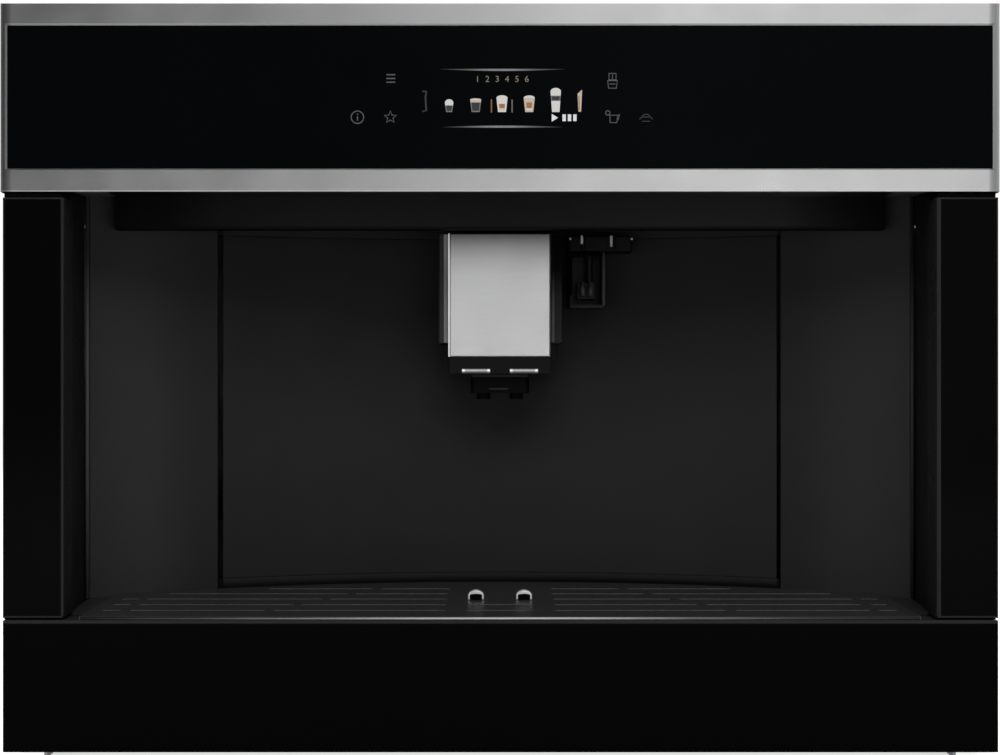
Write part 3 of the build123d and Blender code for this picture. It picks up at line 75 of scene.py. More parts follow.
class Paint:
    """A material with one main shader, and short calls for the nodes that feed it."""

    def __init__(self, name, **sockets):
        self.material = bpy.data.materials.new(name)
        self.material.use_nodes = True
        self.tree = self.material.node_tree
        self.shader = self.tree.nodes["Principled BSDF"]
        for socket, value in sockets.items():
            self.shader.inputs[socket.replace("_", " ")].default_value = value

    def node(self, kind, inputs=(), **settings):
        made = self.tree.nodes.new(kind)
        for name, value in settings.items():
            setattr(made, name, value)
        for socket, value in dict(inputs).items():
            self.put(made.inputs[socket], value)
        return made

    def put(self, socket, value):
        if isinstance(value, bpy.types.NodeSocket):
            self.tree.links.new(value, socket)
        else:
            socket.default_value = value

    def noise(self, scale, stretch=(1, 1, 1), detail=3.0):
        """Soft noise over the piece; stretch under 1 draws it out along that axis."""
        coords = self.node("ShaderNodeTexCoord").outputs["Object"]
        place = self.node("ShaderNodeMapping", {"Vector": coords, "Scale": stretch})
        values = {"Vector": place.outputs[0], "Scale": scale, "Detail": detail}
        return self.node("ShaderNodeTexNoise", values).outputs[0]

    def cells(self, scale, stretch=(1, 1, 1)):
        """Flat patches, as the crystals of a zinc coat."""
        coords = self.node("ShaderNodeTexCoord").outputs["Object"]
        place = self.node("ShaderNodeMapping", {"Vector": coords, "Scale": stretch})
        found = self.node("ShaderNodeTexVoronoi", {"Vector": place.outputs[0], "Scale": scale})
        split = self.node("ShaderNodeSeparateColor", {0: found.outputs["Color"]})
        return split.outputs[0]

    def spread(self, value, low, high, start=0.3, stop=0.7):
        """The value's usual range, start to stop, made into low to high."""
        values = {0: value, 1: start, 2: stop, 3: low, 4: high}
        return self.node("ShaderNodeMapRange", values).outputs[0]

    def times(self, first, second):
        return self.node("ShaderNodeMath", {0: first, 1: second}, operation="MULTIPLY").outputs[0]

    def mix(self, factor, first, second):
        """A colour between two colours."""
        values = {0: factor, 6: first, 7: second}
        return self.node("ShaderNodeMix", values, data_type="RGBA").outputs[2]

    def fade(self, colour, axis, stops):
        """The colour made darker along an axis, from stops of place in mm and share kept."""
        coords = self.node("ShaderNodeTexCoord").outputs["Object"]
        split = self.node("ShaderNodeSeparateXYZ", {0: coords})
        first, last = stops[0][0], stops[-1][0]
        values = {0: split.outputs[axis], 1: first * MM, 2: last * MM}
        share = self.node("ShaderNodeMapRange", values).outputs[0]
        ramp = self.node("ShaderNodeValToRGB", {0: share})
        band = ramp.color_ramp.elements
        while len(band) < len(stops):
            band.new(0.5)
        for element, (place, kept) in zip(band, stops):
            element.position = (place - first) / (last - first)
            element.color = (kept, kept, kept, 1)
        values = {0: 1.0, 6: colour, 7: ramp.outputs[0]}
        return self.node("ShaderNodeMix", values, data_type="RGBA", blend_type="MULTIPLY").outputs[2]

    def edges(self, radius):
        """1 on the piece's edges and 0 on its faces."""
        bevel = self.node("ShaderNodeBevel", {"Radius": radius}, samples=4)
        plain = self.node("ShaderNodeNewGeometry").outputs["True Normal"]
        values = {0: bevel.outputs[0], 1: plain}
        dot = self.node("ShaderNodeVectorMath", values, operation="DOT_PRODUCT")
        return bevel.outputs[0], self.spread(dot.outputs["Value"], 1, 0, 0.72, 0.99)

    def bump(self, height, strength, distance, normal=None):
        values = {"Height": height, "Strength": strength, "Distance": distance}
        if normal is not None:
            values["Normal"] = normal
        return self.node("ShaderNodeBump", values).outputs[0]

    def finish(self, colour, roughness, normal):
        self.put(self.shader.inputs["Base Color"], colour)
        self.put(self.shader.inputs["Roughness"], roughness)
        self.put(self.shader.inputs["Normal"], normal)
        return self.material


def grey(value, tint=0.0):
    """A neutral colour; a tint above 0 leans to blue."""
    return (value * (1 - tint), value, value * (1 + tint), 1)


def surface(
    name, dark, light, rough, grain, stretch=(1, 1, 1), depth=0.00002, edge=0.0004,
    wear=None, worn=0.5, fades=(), patches=0.2, under=None, over=None, **sockets,
):
    """A finish with slow changes of tone, fine grain, rubbed edges that some finishes light as a painted
    highlight, uneven sheen and relief.

    Fades darken it along an axis, mostly to paint shade and light; under paints shade on the faces that
    look down, and over paints light on the faces that look up.
    """
    paint = Paint(name, **sockets)
    cloud = paint.noise(7)
    fine = paint.noise(grain, stretch, 2.0)
    colour = paint.mix(paint.spread(cloud, 0, 1), dark, light)
    colour = paint.mix(paint.spread(fine, 0, 0.35), colour, light)
    normal, border = paint.edges(edge)
    patchy = paint.spread(paint.noise(260), patches, 1)
    amount = paint.times(paint.times(border, patchy), worn)
    # the edge colour is rubbing on some finishes and a painted highlight on others
    colour = paint.mix(amount, colour, wear or light)
    for axis, stops in fades:
        colour = paint.fade(colour, axis, stops)
    for other, start, stop, low, high in ((under, -0.9, -0.6, 1, 0), (over, 0.6, 0.9, 0, 1)):
        if other is not None:
            facing = paint.node("ShaderNodeNewGeometry").outputs["True Normal"]
            split = paint.node("ShaderNodeSeparateXYZ", {0: facing})
            share = paint.spread(split.outputs["Z"], low, high, start, stop)
            colour = paint.mix(share, colour, other)
    smears = paint.noise(34, detail=6.0)
    roughness = paint.spread(smears, rough[0], rough[1])
    return paint.finish(colour, roughness, paint.bump(fine, 0.5, depth, normal))


BRUSH_X = (0.02, 1, 1)
BRUSH_Z = (1, 1, 0.02)

# the X fade paints a reflection that brightens to the right, and painted light and shade across the
# rounded ends; under paints shade on the underside
steel = surface(
    "brushed_steel", (0.55, 0.55, 0.553, 1), (0.66, 0.66, 0.663, 1), (0.27, 0.34), 5200, BRUSH_X,
    0.000008, 0.0003, grey(0.7), 0.15,
    fades=[("X", [(-297.5, 0.4), (-296, 0.22), (-293, 0.2), (-292.6, 0.66), (-240, 0.8), (-190, 0.87),
                  (-130, 0.93), (0, 0.95), (50, 1), (292.6, 0.96), (293, 0.25), (295.5, 0.45),
                  (297.5, 0.7)])],
    under=grey(0.006), Metallic=1.0, Anisotropic=0.4,
)
# the Z fade paints shade toward the top of the plate, under the head
plate = surface(
    "brushed_plate", (0.57, 0.57, 0.575, 1), (0.74, 0.74, 0.745, 1), (0.36, 0.44), 2600, BRUSH_X,
    0.00001, 0.0002, grey(0.9), 0.8,
    fades=[("Z", [(285, 1), (300, 0.94), (310, 0.78), (318, 0.56), (324, 0.32), (327.5, 0.16)])],
    Metallic=1.0,
)
rim_steel = surface(
    "rim_steel", (0.88, 0.88, 0.88, 1), (0.96, 0.96, 0.96, 1), (0.3, 0.38), 2600, BRUSH_Z,
    0.00001, 0.0001, grey(0.9), 0.8, Metallic=1.0,
)
# pale and little metallic as a painted reflection of chrome, and the Z fade paints shade toward the lower
# ends
pin_steel = surface(
    "pin_steel", (0.6, 0.6, 0.6, 1), (0.75, 0.75, 0.75, 1), (0.3, 0.45), 2600,
    depth=0.00001, edge=0.0002, fades=[("Z", [(320, 0.35), (322.5, 0.45), (325, 0.8), (328.3, 1)])],
    Metallic=0.25,
)
black_glass = surface(
    "black_glass", (0.0014, 0.0016, 0.0018, 1), (0.0018, 0.0021, 0.0024, 1), (0.015, 0.05), 60,
    depth=0.000001, wear=grey(0.01, 0.1), Specular_IOR_Level=0.011,
)
# the Z fade keeps the colour only on the top 1.6 mm: a painted highlight along the panel's top edge
panel_black = surface(
    "panel_black", (0.018, 0.0185, 0.02, 1), (0.023, 0.0235, 0.025, 1), (0.04, 0.11), 90,
    depth=0.000002, edge=0.0005, fades=[("Z", [(9, 0.035), (85.5, 0.035), (86.1, 1), (87.7, 1)])],
    Specular_IOR_Level=0.02,
)
# painted highlight for the light lines on the columns and on the spout's outlet block
dim_highlight = surface(
    "dim_highlight", (0.011, 0.0113, 0.012, 1), (0.015, 0.0153, 0.016, 1), (0.25, 0.35), 900,
    depth=0.000005, edge=0.0003, Specular_IOR_Level=0.1,
)
# the bright edge colour here is a painted highlight along the column edges
gloss_black = surface(
    "gloss_black", (0.0014, 0.0014, 0.0015, 1), (0.0018, 0.0018, 0.0019, 1), (0.04, 0.11), 90,
    depth=0.000002, edge=0.0013, wear=grey(0.035, 0.05), worn=1.0, patches=0.6,
    Specular_IOR_Level=0.02,
)
SEAM_LINES = [
    (-191, 0.03), (-187.5, 0.03), (-187.3, 1), (187.1, 1), (187.3, 0.03), (189.9, 0.03),
]
NICHE_LOW = (0.0139, 0.0139, 0.0143, 1)
NICHE_HIGH = (0.0168, 0.0168, 0.017, 1)
niche_look = dict(depth=0.000015, edge=0.0009, wear=grey(0.03), worn=0.55, Specular_IOR_Level=0.1)
# the fades paint shade: darker to the left and toward the top, under the head
niche_dark = surface(
    "niche_dark", NICHE_LOW, NICHE_HIGH, (0.46, 0.58), 2400,
    fades=[("X", [(-187.5, 0.86), (-60, 0.9), (20, 0.98), (110, 1), (187.5, 0.92)]),
           ("Z", [(96, 1), (217, 0.98), (270, 0.86), (328.4, 0.8)])],
    **niche_look,
)
# the fades paint light and shade: brighter toward the outer edges, darker toward the door, and in bands
# up the wall, brightest at the top
wall_dark = surface(
    "wall_dark", (0.0274, 0.0275, 0.0281, 1), (0.0333, 0.0333, 0.0338, 1), (0.46, 0.58), 2400,
    fades=[("X", [(-268, 1), (-235, 0.9), (-205, 0.58), (-191, 0.54), (191, 0.54), (205, 0.58),
                  (235, 0.8), (268, 0.95)]),
           ("Z", [(89, 0.86), (118, 0.86), (217, 0.8), (250, 0.8), (283, 0.84), (316, 1), (353, 1)])],
    **niche_look,
)
# the X fade draws the dark seam lines; the Z fade paints shadow toward the bottom, above the grille
sill_dark = surface(
    "sill_dark", NICHE_LOW, NICHE_HIGH, (0.46, 0.58), 2400,
    fades=[("X", SEAM_LINES), ("Z", [(89, 0.05), (91, 0.1), (93.5, 0.7), (96, 1)])], **niche_look,
)
header_dark = surface(
    "header_dark", NICHE_LOW, NICHE_HIGH, (0.46, 0.58), 2400, fades=[("X", SEAM_LINES)], **niche_look,
)
# lighter than the walls: a painted highlight on the wall panels' rounded front edges, with painted shade
# darkening it to the right
bead_highlight = surface(
    "bead_highlight", (0.06, 0.061, 0.062, 1), (0.075, 0.076, 0.076, 1), (0.35, 0.45), 2400,
    depth=0.00001, edge=0.0004, wear=grey(0.1), worn=0.5,
    fades=[("X", [(-271, 1), (-200, 0.6), (200, 0.36), (271, 0.36)])], Specular_IOR_Level=0.15,
)
# the Y fade paints shade deeper into the recess, and over paints light on the faces that look up
side_dark = surface(
    "side_dark", (0.01, 0.0103, 0.0106, 1), (0.0135, 0.0138, 0.0142, 1), (0.35, 0.46), 2000,
    depth=0.000012, edge=0.0008, wear=grey(0.02), worn=0.5,
    fades=[("Y", [(-185, 1), (-165, 0.7), (-145, 0.45), (-130, 0.2)])], over=grey(0.026),
    Specular_IOR_Level=0.12,
)
deep_dark = surface(
    "deep_dark", (0.002, 0.002, 0.0022, 1), (0.003, 0.003, 0.0032, 1), (0.5, 0.6), 2000,
    depth=0.000012, edge=0.0008, wear=grey(0.01), worn=0.5, Specular_IOR_Level=0.1,
)
shadow_black = surface(
    "shadow_black", (0.0016, 0.0016, 0.0018, 1), (0.0024, 0.0024, 0.0026, 1), (0.6, 0.75), 2400,
    depth=0.00001, edge=0.0003, wear=grey(0.004), worn=0.3, Specular_IOR_Level=0.0,
)
# painted shade and light along the head's underside, without reflection
head_shade = surface(
    "head_shade", (0.028, 0.028, 0.029, 1), (0.034, 0.034, 0.035, 1), (0.6, 0.75), 2400,
    depth=0.00001, edge=0.0001, worn=0.1,
    fades=[("X", [(-297, 0.03), (-254, 0.03), (-251, 0.9), (-235, 0.9), (-232, 0.1), (-200, 0.1),
                  (-170, 0.35), (-100, 0.45), (0, 0.5), (150, 0.7), (190, 0.75), (205, 0.3),
                  (232, 0.12), (235, 0.9), (251, 0.8), (254, 0.03), (297, 0.03)])],
    Specular_IOR_Level=0.0,
)
# the fades paint shade: darker toward both ends and along the bar's bottom edge
bar_dark = surface(
    "bar_dark", (0.019, 0.019, 0.0202, 1), (0.0238, 0.0238, 0.025, 1), (0.42, 0.52), 1800,
    depth=0.000012, edge=0.0007, wear=grey(0.02), worn=0.4,
    fades=[
        ("X", [(-215, 0.12), (-180, 0.5), (-130, 0.64), (0, 0.68), (90, 0.86), (185, 1), (205, 0.5),
               (225, 0.2), (245, 0.12)]),
        ("Z", [(328, 0.1), (330.2, 0.12), (330.8, 1), (353, 0.85)]),
    ],
    Specular_IOR_Level=0.08,
)
spout_black = surface(
    "spout_black", (0.006, 0.0061, 0.0064, 1), (0.0084, 0.0085, 0.0088, 1), (0.34, 0.46), 3000,
    depth=0.00002, edge=0.0004, wear=grey(0.02), worn=0.4,
    fades=[("Z", [(217, 0.25), (234, 0.25), (235, 1), (326, 1)])], Specular_IOR_Level=0.03,
)
# the fades paint shade toward the top and toward the left
nozzle_black = surface(
    "nozzle_black", (0.011, 0.0112, 0.0115, 1), (0.015, 0.0152, 0.0155, 1), (0.34, 0.46), 3000,
    depth=0.00002, edge=0.0005, wear=grey(0.02), worn=0.3,
    fades=[("Z", [(279, 1), (286, 1), (291, 0.85), (300, 0.6), (318, 0.5)]),
           ("X", [(46, 0.6), (58, 0.8), (68, 0.9), (72, 1)])], Specular_IOR_Level=0.12,
)
nozzle_grey = surface(
    "nozzle_grey", (0.026, 0.026, 0.027, 1), (0.036, 0.036, 0.037, 1), (0.3, 0.42), 3000,
    depth=0.00001, edge=0.0003, wear=grey(0.06), worn=0.4, Specular_IOR_Level=0.2,
)
guide_black = surface(
    "guide_black", (0.014, 0.0142, 0.0145, 1), (0.019, 0.0192, 0.0195, 1), (0.34, 0.46), 3000,
    depth=0.00002, edge=0.0008, wear=grey(0.05), worn=0.6, Specular_IOR_Level=0.25,
)
# pale band that paints a highlight down the left guide wing, brightest toward the top
guide_highlight = surface(
    "guide_highlight", (0.36, 0.36, 0.363, 1), (0.43, 0.43, 0.43, 1), (0.34, 0.46), 3000,
    depth=0.00001, edge=0.0003, fades=[("Z", [(255, 0.5), (290, 0.6), (315, 1), (328, 1)])],
    Specular_IOR_Level=0.3,
)
RIGHT_SHADE = [(255, 1), (285, 0.9), (296, 0.45), (304, 0.05), (328, 0.02)]
guide_shade = surface(
    "guide_shade", (0.017, 0.0172, 0.0175, 1), (0.023, 0.0232, 0.0235, 1), (0.34, 0.46), 3000,
    depth=0.00001, edge=0.0003, fades=[("Z", RIGHT_SHADE)], Specular_IOR_Level=0.03,
)
guide_gleam = surface(
    "guide_gleam", (0.065, 0.065, 0.067, 1), (0.085, 0.085, 0.085, 1), (0.34, 0.46), 3000,
    depth=0.00001, edge=0.0003, fades=[("Z", RIGHT_SHADE)], Specular_IOR_Level=0.03,
)
# the edge colour is partly rubbing and partly a painted highlight along the grille's slot edges
tray_dark = surface(
    "tray_dark", (0.022, 0.0222, 0.0225, 1), (0.027, 0.0272, 0.0275, 1), (0.3, 0.42), 1500,
    depth=0.000015, edge=0.0007, wear=grey(0.16), worn=0.9, patches=0.5, Specular_IOR_Level=0.4,
)
# the X fade paints a highlight brightest in the middle of the lip and dark toward its ends
lip_steel = surface(
    "lip_steel", (0.46, 0.46, 0.46, 1), (0.58, 0.58, 0.58, 1), (0.3, 0.42), 3000, BRUSH_X,
    0.000006, 0.0002, grey(0.5), 0.5,
    fades=[("X", [(-250, 0.03), (-180, 0.14), (-110, 0.42), (-45, 0.95), (0, 1), (50, 0.7),
                  (110, 0.28), (180, 0.1), (250, 0.04)])],
    Metallic=1.0,
)
# pale and little metallic for a chrome hood: a painted reflection of the room above
dome_steel = surface(
    "dome_steel", (0.7, 0.7, 0.7, 1), (0.8, 0.8, 0.8, 1), (0.12, 0.2), 500,
    depth=0.000003, edge=0.0003, Metallic=0.35,
)
rail_steel = surface(
    "rail_steel", (0.42, 0.43, 0.44, 1), (0.56, 0.57, 0.58, 1), (0.24, 0.4), 1400, (1, 0.03, 1),
    0.00001, 0.0005, grey(0.8), 0.5, Metallic=1.0,
)
turned_steel = surface(
    "turned_steel", (0.4, 0.4, 0.41, 1), (0.6, 0.6, 0.6, 1), (0.22, 0.36), 2600, (1, 1, 3),
    0.00001, 0.0003, grey(0.8), 0.5, Metallic=1.0,
)
moulded = surface(
    "moulded_black", (0.03, 0.03, 0.033, 1), (0.045, 0.045, 0.048, 1), (0.5, 0.68), 3600,
    depth=0.00004, edge=0.0007, wear=grey(0.12), worn=0.5, Specular_IOR_Level=0.4,
)
silicone = surface(
    "silicone", (0.55, 0.55, 0.52, 1), (0.7, 0.7, 0.67, 1), (0.35, 0.5), 900,
    depth=0.00002, Subsurface_Weight=0.15, Subsurface_Scale=0.004,
)
cast = surface(
    "cast_aluminium", (0.42, 0.42, 0.42, 1), (0.6, 0.6, 0.59, 1), (0.4, 0.6), 1500,
    depth=0.00012, edge=0.0009, wear=grey(0.75), worn=0.6, Metallic=0.9,
)
pump_coat = surface(
    "pump_body", (0.16, 0.15, 0.13, 1), (0.3, 0.28, 0.24, 1), (0.4, 0.6), 1200,
    depth=0.00006, edge=0.0008, wear=(0.7, 0.5, 0.2, 1), worn=0.6,
)
board = surface(
    "circuit_board", (0.01, 0.09, 0.035, 1), (0.02, 0.2, 0.08, 1), (0.25, 0.4), 700, (1, 0.2, 1),
    0.00003, 0.0005, (0.5, 0.42, 0.2, 1), 0.5,
)


def zinc_sheet():
    """Zinc plated sheet with its crystals."""
    paint = Paint("zinc_sheet", Metallic=1.0)
    crystal = paint.cells(150, (1, 1, 0.8))
    fine = paint.noise(1800)
    colour = paint.mix(paint.spread(crystal, 0, 1, 0.1, 0.9), grey(0.47, 0.02), grey(0.55, 0.02))
    colour = paint.mix(paint.spread(paint.noise(6), 0, 0.4), colour, grey(0.4, 0.02))
    normal, border = paint.edges(0.0006)
    colour = paint.mix(paint.times(border, 0.6), colour, grey(0.8))
    roughness = paint.spread(crystal, 0.34, 0.44, 0.1, 0.9)
    return paint.finish(colour, roughness, paint.bump(fine, 0.4, 0.00001, normal))


def clear_plastic():
    """Clear smoke tinted plastic of the tank and the bean hopper."""
    paint = Paint("clear_plastic", Transmission_Weight=0.75, IOR=1.49)
    cloud = paint.noise(9)
    colour = paint.mix(paint.spread(cloud, 0, 1), (0.55, 0.6, 0.63, 1), (0.68, 0.73, 0.75, 1))
    normal, border = paint.edges(0.0008)
    colour = paint.mix(paint.times(border, 0.6), colour, grey(0.85))
    roughness = paint.spread(paint.noise(50, detail=6.0), 0.04, 0.16)
    return paint.finish(colour, roughness, paint.bump(paint.noise(180), 0.3, 0.00003, normal))


def glow(name, low, high, strength, speckle=900):
    """A lit sign: its light varies a little over its face."""
    paint = Paint(name, Emission_Strength=strength, Specular_IOR_Level=0.1)
    fine = paint.noise(speckle, detail=2.0)
    colour = paint.mix(paint.spread(fine, 0, 1), low, high)
    paint.put(paint.shader.inputs["Emission Color"], colour)
    roughness = paint.spread(fine, 0.25, 0.4)
    dark = paint.mix(paint.spread(fine, 0, 1), grey(0.01), grey(0.02))
    return paint.finish(dark, roughness, paint.bump(fine, 0.1, 0.00001))


zinc = zinc_sheet()
clear = clear_plastic()
sign_dim = glow("sign_dim", grey(0.062), grey(0.088), 1.0)
sign_faint = glow("sign_faint", grey(0.022), grey(0.034), 1.0)
sign_white = glow("sign_white", grey(0.6), grey(0.8), 1.0)
sign_title = glow("sign_title", (0.16, 0.12, 0.08, 1), (0.24, 0.19, 0.13, 1), 1.0)
sign_orange = glow("sign_orange", (0.16, 0.075, 0.03, 1), (0.24, 0.11, 0.045, 1), 1.0)
sign_mark = glow("sign_mark", (0.09, 0.075, 0.055, 1), (0.14, 0.115, 0.085, 1), 1.0)
cup_foam = glow("cup_foam", grey(0.45), (0.75, 0.72, 0.68, 1), 1.0, 2600)
cup_glass = glow("cup_glass", grey(0.012, 0.08), grey(0.04, 0.08), 1.0, 2600)
cup_line = glow("cup_line", grey(0.1), grey(0.2), 1.0, 2600)
cup_coffee = glow("cup_coffee", (0.2, 0.08, 0.02, 1), (0.42, 0.2, 0.08, 1), 1.0, 2600)
cup_milk = glow("cup_milk", (0.4, 0.33, 0.26, 1), (0.6, 0.52, 0.43, 1), 1.0, 2600)


def lamp_strip():
    """Lens of the cup light: only a fine line of it is lit, brightest at its ends."""
    paint = Paint("lamp_lens", Emission_Strength=1.0, Specular_IOR_Level=0.2)
    fine = paint.noise(700, detail=2.0)
    colour = paint.mix(paint.spread(fine, 0, 1), grey(0.95), grey(1.2))
    line = [(235.2, 0.01), (236.0, 0.25), (236.8, 1), (237.3, 0.7), (238, 0.05)]
    colour = paint.fade(colour, "Z", line)
    along = [
        (-25, 1), (-23.6, 1), (-22.8, 0.45), (-8.8, 0.45), (-8, 1), (-6.6, 1),
        (6.6, 1), (8, 1), (8.8, 0.45), (22.8, 0.45), (23.6, 1), (25, 1),
    ]
    colour = paint.fade(colour, "X", along)
    paint.put(paint.shader.inputs["Emission Color"], colour)
    dark = paint.mix(fine, grey(0.006), grey(0.012))
    return paint.finish(dark, paint.spread(fine, 0.25, 0.4), paint.bump(fine, 0.1, 0.00001))


lamp_lens = lamp_strip()


def arc_light():
    """Light of the two curved lines of the display, fading to both ends."""
    paint = Paint("display_arc", Emission_Strength=1.0, Specular_IOR_Level=0.1)
    fine = paint.noise(900, detail=2.0)
    colour = paint.mix(paint.spread(fine, 0, 1), grey(0.17), grey(0.22))
    along = [(-36, 0.08), (-22, 0.35), (-6, 0.95), (6, 1), (22, 0.4), (38, 0.08)]
    colour = paint.fade(colour, "X", along)
    paint.put(paint.shader.inputs["Emission Color"], colour)
    return paint.finish(grey(0.01), paint.spread(fine, 0.25, 0.4), paint.bump(fine, 0.1, 0.00001))


display_arc = arc_light()

finishes = {
    steel: ["control_frame"],
    plate: ["spout_plate"],
    black_glass: ["control_glass"],
    gloss_black: ["column_left", "column_right"],
    panel_black: ["lower_panel"],
    niche_dark: ["door_panel"],
    wall_dark: ["niche_panel_left", "niche_panel_right"],
    sill_dark: ["niche_sill"],
    header_dark: ["niche_header"],
    side_dark: ["niche_cheeks"],
    # the front frame is zinc sheet, coloured black here as painted shade in the gaps around the columns
    # and panel
    deep_dark: ["niche_ceiling", "door_liner", "nozzle_holder", "front_frame"],
    bar_dark: ["upper_bar"],
    guide_black: ["spout_housing", "main_switch"],
    nozzle_black: ["water_spout"],
    spout_black: ["spout_body"],
    tray_dark: ["cup_grille", "drip_basin"],
    dome_steel: ["drain_domes"],
    lamp_lens: ["spout_lights"],
    zinc: [
        "side_walls", "base_pan", "rear_panel", "top_cover", "mid_deck",
        "service_floor", "tray_shelf", "service_partitions",
    ],
    rail_steel: [
        "rail_brackets", "rail_outer_members", "rail_middle_members", "rail_inner_members",
    ],
    turned_steel: ["door_hinge", "brew_spindle", "burr_cone"],
    moulded: [
        "service_cover", "control_housing", "grounds_container", "brew_frame",
        "brew_piston", "grinder_body", "powder_funnel", "funnel_lid", "grind_knob", "mains_inlet",
    ],
    board: ["power_board", "display_module"],
    clear: ["water_tank", "tank_lid", "bean_hopper", "hopper_lid"],
    silicone: ["water_hose"],
    cast: ["thermoblock"],
    pump_coat: ["pump"],
}
for material, names in finishes.items():
    for name in names:
        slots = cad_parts[name].data.materials
        slots.clear()
        slots.append(material)


# ------------------------------------------------------------------ making pieces


def add_piece(name, bm, material, body, smooth=False):
    """Makes a mesh object from a bmesh and lets it ride on a body."""
    mesh = bpy.data.meshes.new(name)
    bm.to_mesh(mesh)
    bm.free()
    mesh.materials.append(material)
    for face in mesh.polygons:
        face.use_smooth = smooth
    obj = bpy.data.objects.new(name, mesh)
    bpy.context.scene.collection.objects.link(obj)
    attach(obj, body)
    return obj


SIGN_LIFT = 0.06
SIGN_THICKNESS = 0.05


def flat_shape(bm, outline, lift=SIGN_LIFT):
    """A thin raised shape on the glass, from points of width and height in mm."""
    near = [bm.verts.new(at(x, GLASS_FACE - lift, z)) for x, z in outline]
    far = [bm.verts.new(at(x, GLASS_FACE - lift + SIGN_THICKNESS, z)) for x, z in outline]
    bm.faces.new(near)
    bm.faces.new(far[::-1])
    for number in range(len(outline)):
        after = (number + 1) % len(outline)
        bm.faces.new((near[number], far[number], far[after], near[after]))


def ribbon(bm, path, width, closed=False):
    """A drawn line of constant width along points of width and height in mm."""
    count = len(path)
    left, right = [], []
    for number, point in enumerate(path):
        before = path[number - 1] if number or closed else path[number]
        after = path[(number + 1) % count] if number + 1 < count or closed else path[number]
        along = Vector(after) - Vector(before)
        across = Vector((-along.y, along.x)).normalized() * (width / 2)
        left.append(Vector(point) + across)
        right.append(Vector(point) - across)
    steps = count if closed else count - 1
    for number in range(steps):
        after = (number + 1) % count
        quad = (left[number], left[after], right[after], right[number])
        flat_shape(bm, [tuple(corner) for corner in quad])


def circle(x, z, radius, start=0, stop=360, steps=28):
    """Points of an arc in width and height."""
    turns = [math.radians(start + (stop - start) * i / steps) for i in range(steps + 1)]
    return [(x + radius * math.cos(t), z + radius * math.sin(t)) for t in turns]


def ring(bm, x, z, radius, width):
    """A drawn circle."""
    ribbon(bm, circle(x, z, radius)[:-1], width, closed=True)


# ------------------------------------------------------------------ touch signs

SIGN_LINE = 0.62


def menu_sign(bm, x, z):
    """Three lines."""
    for step in (-1, 0, 1):
        ribbon(bm, [(x - 3, z + 2.2 * step), (x + 2.3, z + 2.2 * step)], 0.75)


def info_sign(bm, x, z):
    """A stroke and a dot in a ring."""
    ring(bm, x, z, 3.7, SIGN_LINE)
    ribbon(bm, [(x, z - 2), (x, z + 0.6)], 0.7)
    ribbon(bm, [(x, z + 1.4), (x, z + 2.1)], 0.7)


def star_sign(bm, x, z):
    """The outline of a star with five points."""
    points = []
    for number in range(10):
        radius = 3.8 if number % 2 == 0 else 1.6
        turn = math.pi / 2 + number * math.pi / 5
        points.append((x + radius * math.cos(turn), z + radius * math.sin(turn)))
    ribbon(bm, points, 0.55, closed=True)


def tall_glass_sign(bm, x, z):
    """A glass with a filler above it."""
    glass = [(x - 2.9, z + 0.4), (x - 2.3, z - 4.1), (x + 2.3, z - 4.1), (x + 2.9, z + 0.4)]
    ribbon(bm, glass, SIGN_LINE, closed=True)
    ribbon(bm, [(x - 1.7, z - 1.6), (x + 1.7, z - 1.6)], 0.5)
    filler = [(x - 2.1, z + 0.9), (x - 2.1, z + 4.7), (x + 2.1, z + 4.7), (x + 2.1, z + 0.9)]
    ribbon(bm, filler, SIGN_LINE, closed=True)
    ribbon(bm, [(x, z + 1.4), (x, z + 4.2)], 0.45)


def jug_sign(bm, x, z):
    """A jug with a small ring beside its rim."""
    jug = [(x - 1.6, z + 1), (x - 1.4, z - 3.4), (x + 2.6, z - 3.4), (x + 3.1, z + 1)]
    ribbon(bm, jug, SIGN_LINE, closed=True)
    ribbon(bm, [(x + 3, z + 0.8), (x + 4.2, z + 1.6), (x + 3.2, z - 2)], 0.5)
    ring(bm, x - 2.8, z + 2.4, 1.3, 0.5)


def steam_cup_sign(bm, x, z):
    """An arch over two lines."""
    ribbon(bm, circle(x, z, 2.6, 20, 160, 12), 0.5)
    ribbon(bm, [(x - 4, z - 0.4), (x - 2.6, z + 0.9), (x + 2.6, z + 0.9), (x + 4, z - 0.4)], 0.5)
    ribbon(bm, [(x - 2.4, z - 1.6), (x + 2.4, z - 1.6)], 0.5)


signs = [
    ("sign_menu", menu_sign, -64.7, 410.3, sign_dim),
    ("sign_info", info_sign, -84.9, 387.2, sign_dim),
    ("sign_star", star_sign, -65.3, 387.2, sign_dim),
    ("sign_glass", tall_glass_sign, 67.0, 408.6, sign_dim),
    ("sign_jug", jug_sign, 67.0, 387.4, sign_dim),
    ("sign_steam", steam_cup_sign, 87.0, 386.4, sign_faint),
]
for name, draw, x, z, material in signs:
    bm = bmesh.new()
    draw(bm, x, z)
    add_piece(name, bm, material, "machine")


# ------------------------------------------------------------------ display picture

DISPLAY_X = 1.6
ARC_TOP = 415.4
ARC_BOTTOM = 381.6
ARC_HALF = 37.0
ARC_THICK, ARC_THIN = 1.15, 0.1
CUP_BASE = 390.3
CUP_TAPER = 0.28
LAYER_STEP = 0.02
MARK_LOW, MARK_HIGH = 390.0, 397.8
MARK_HALF = 0.4


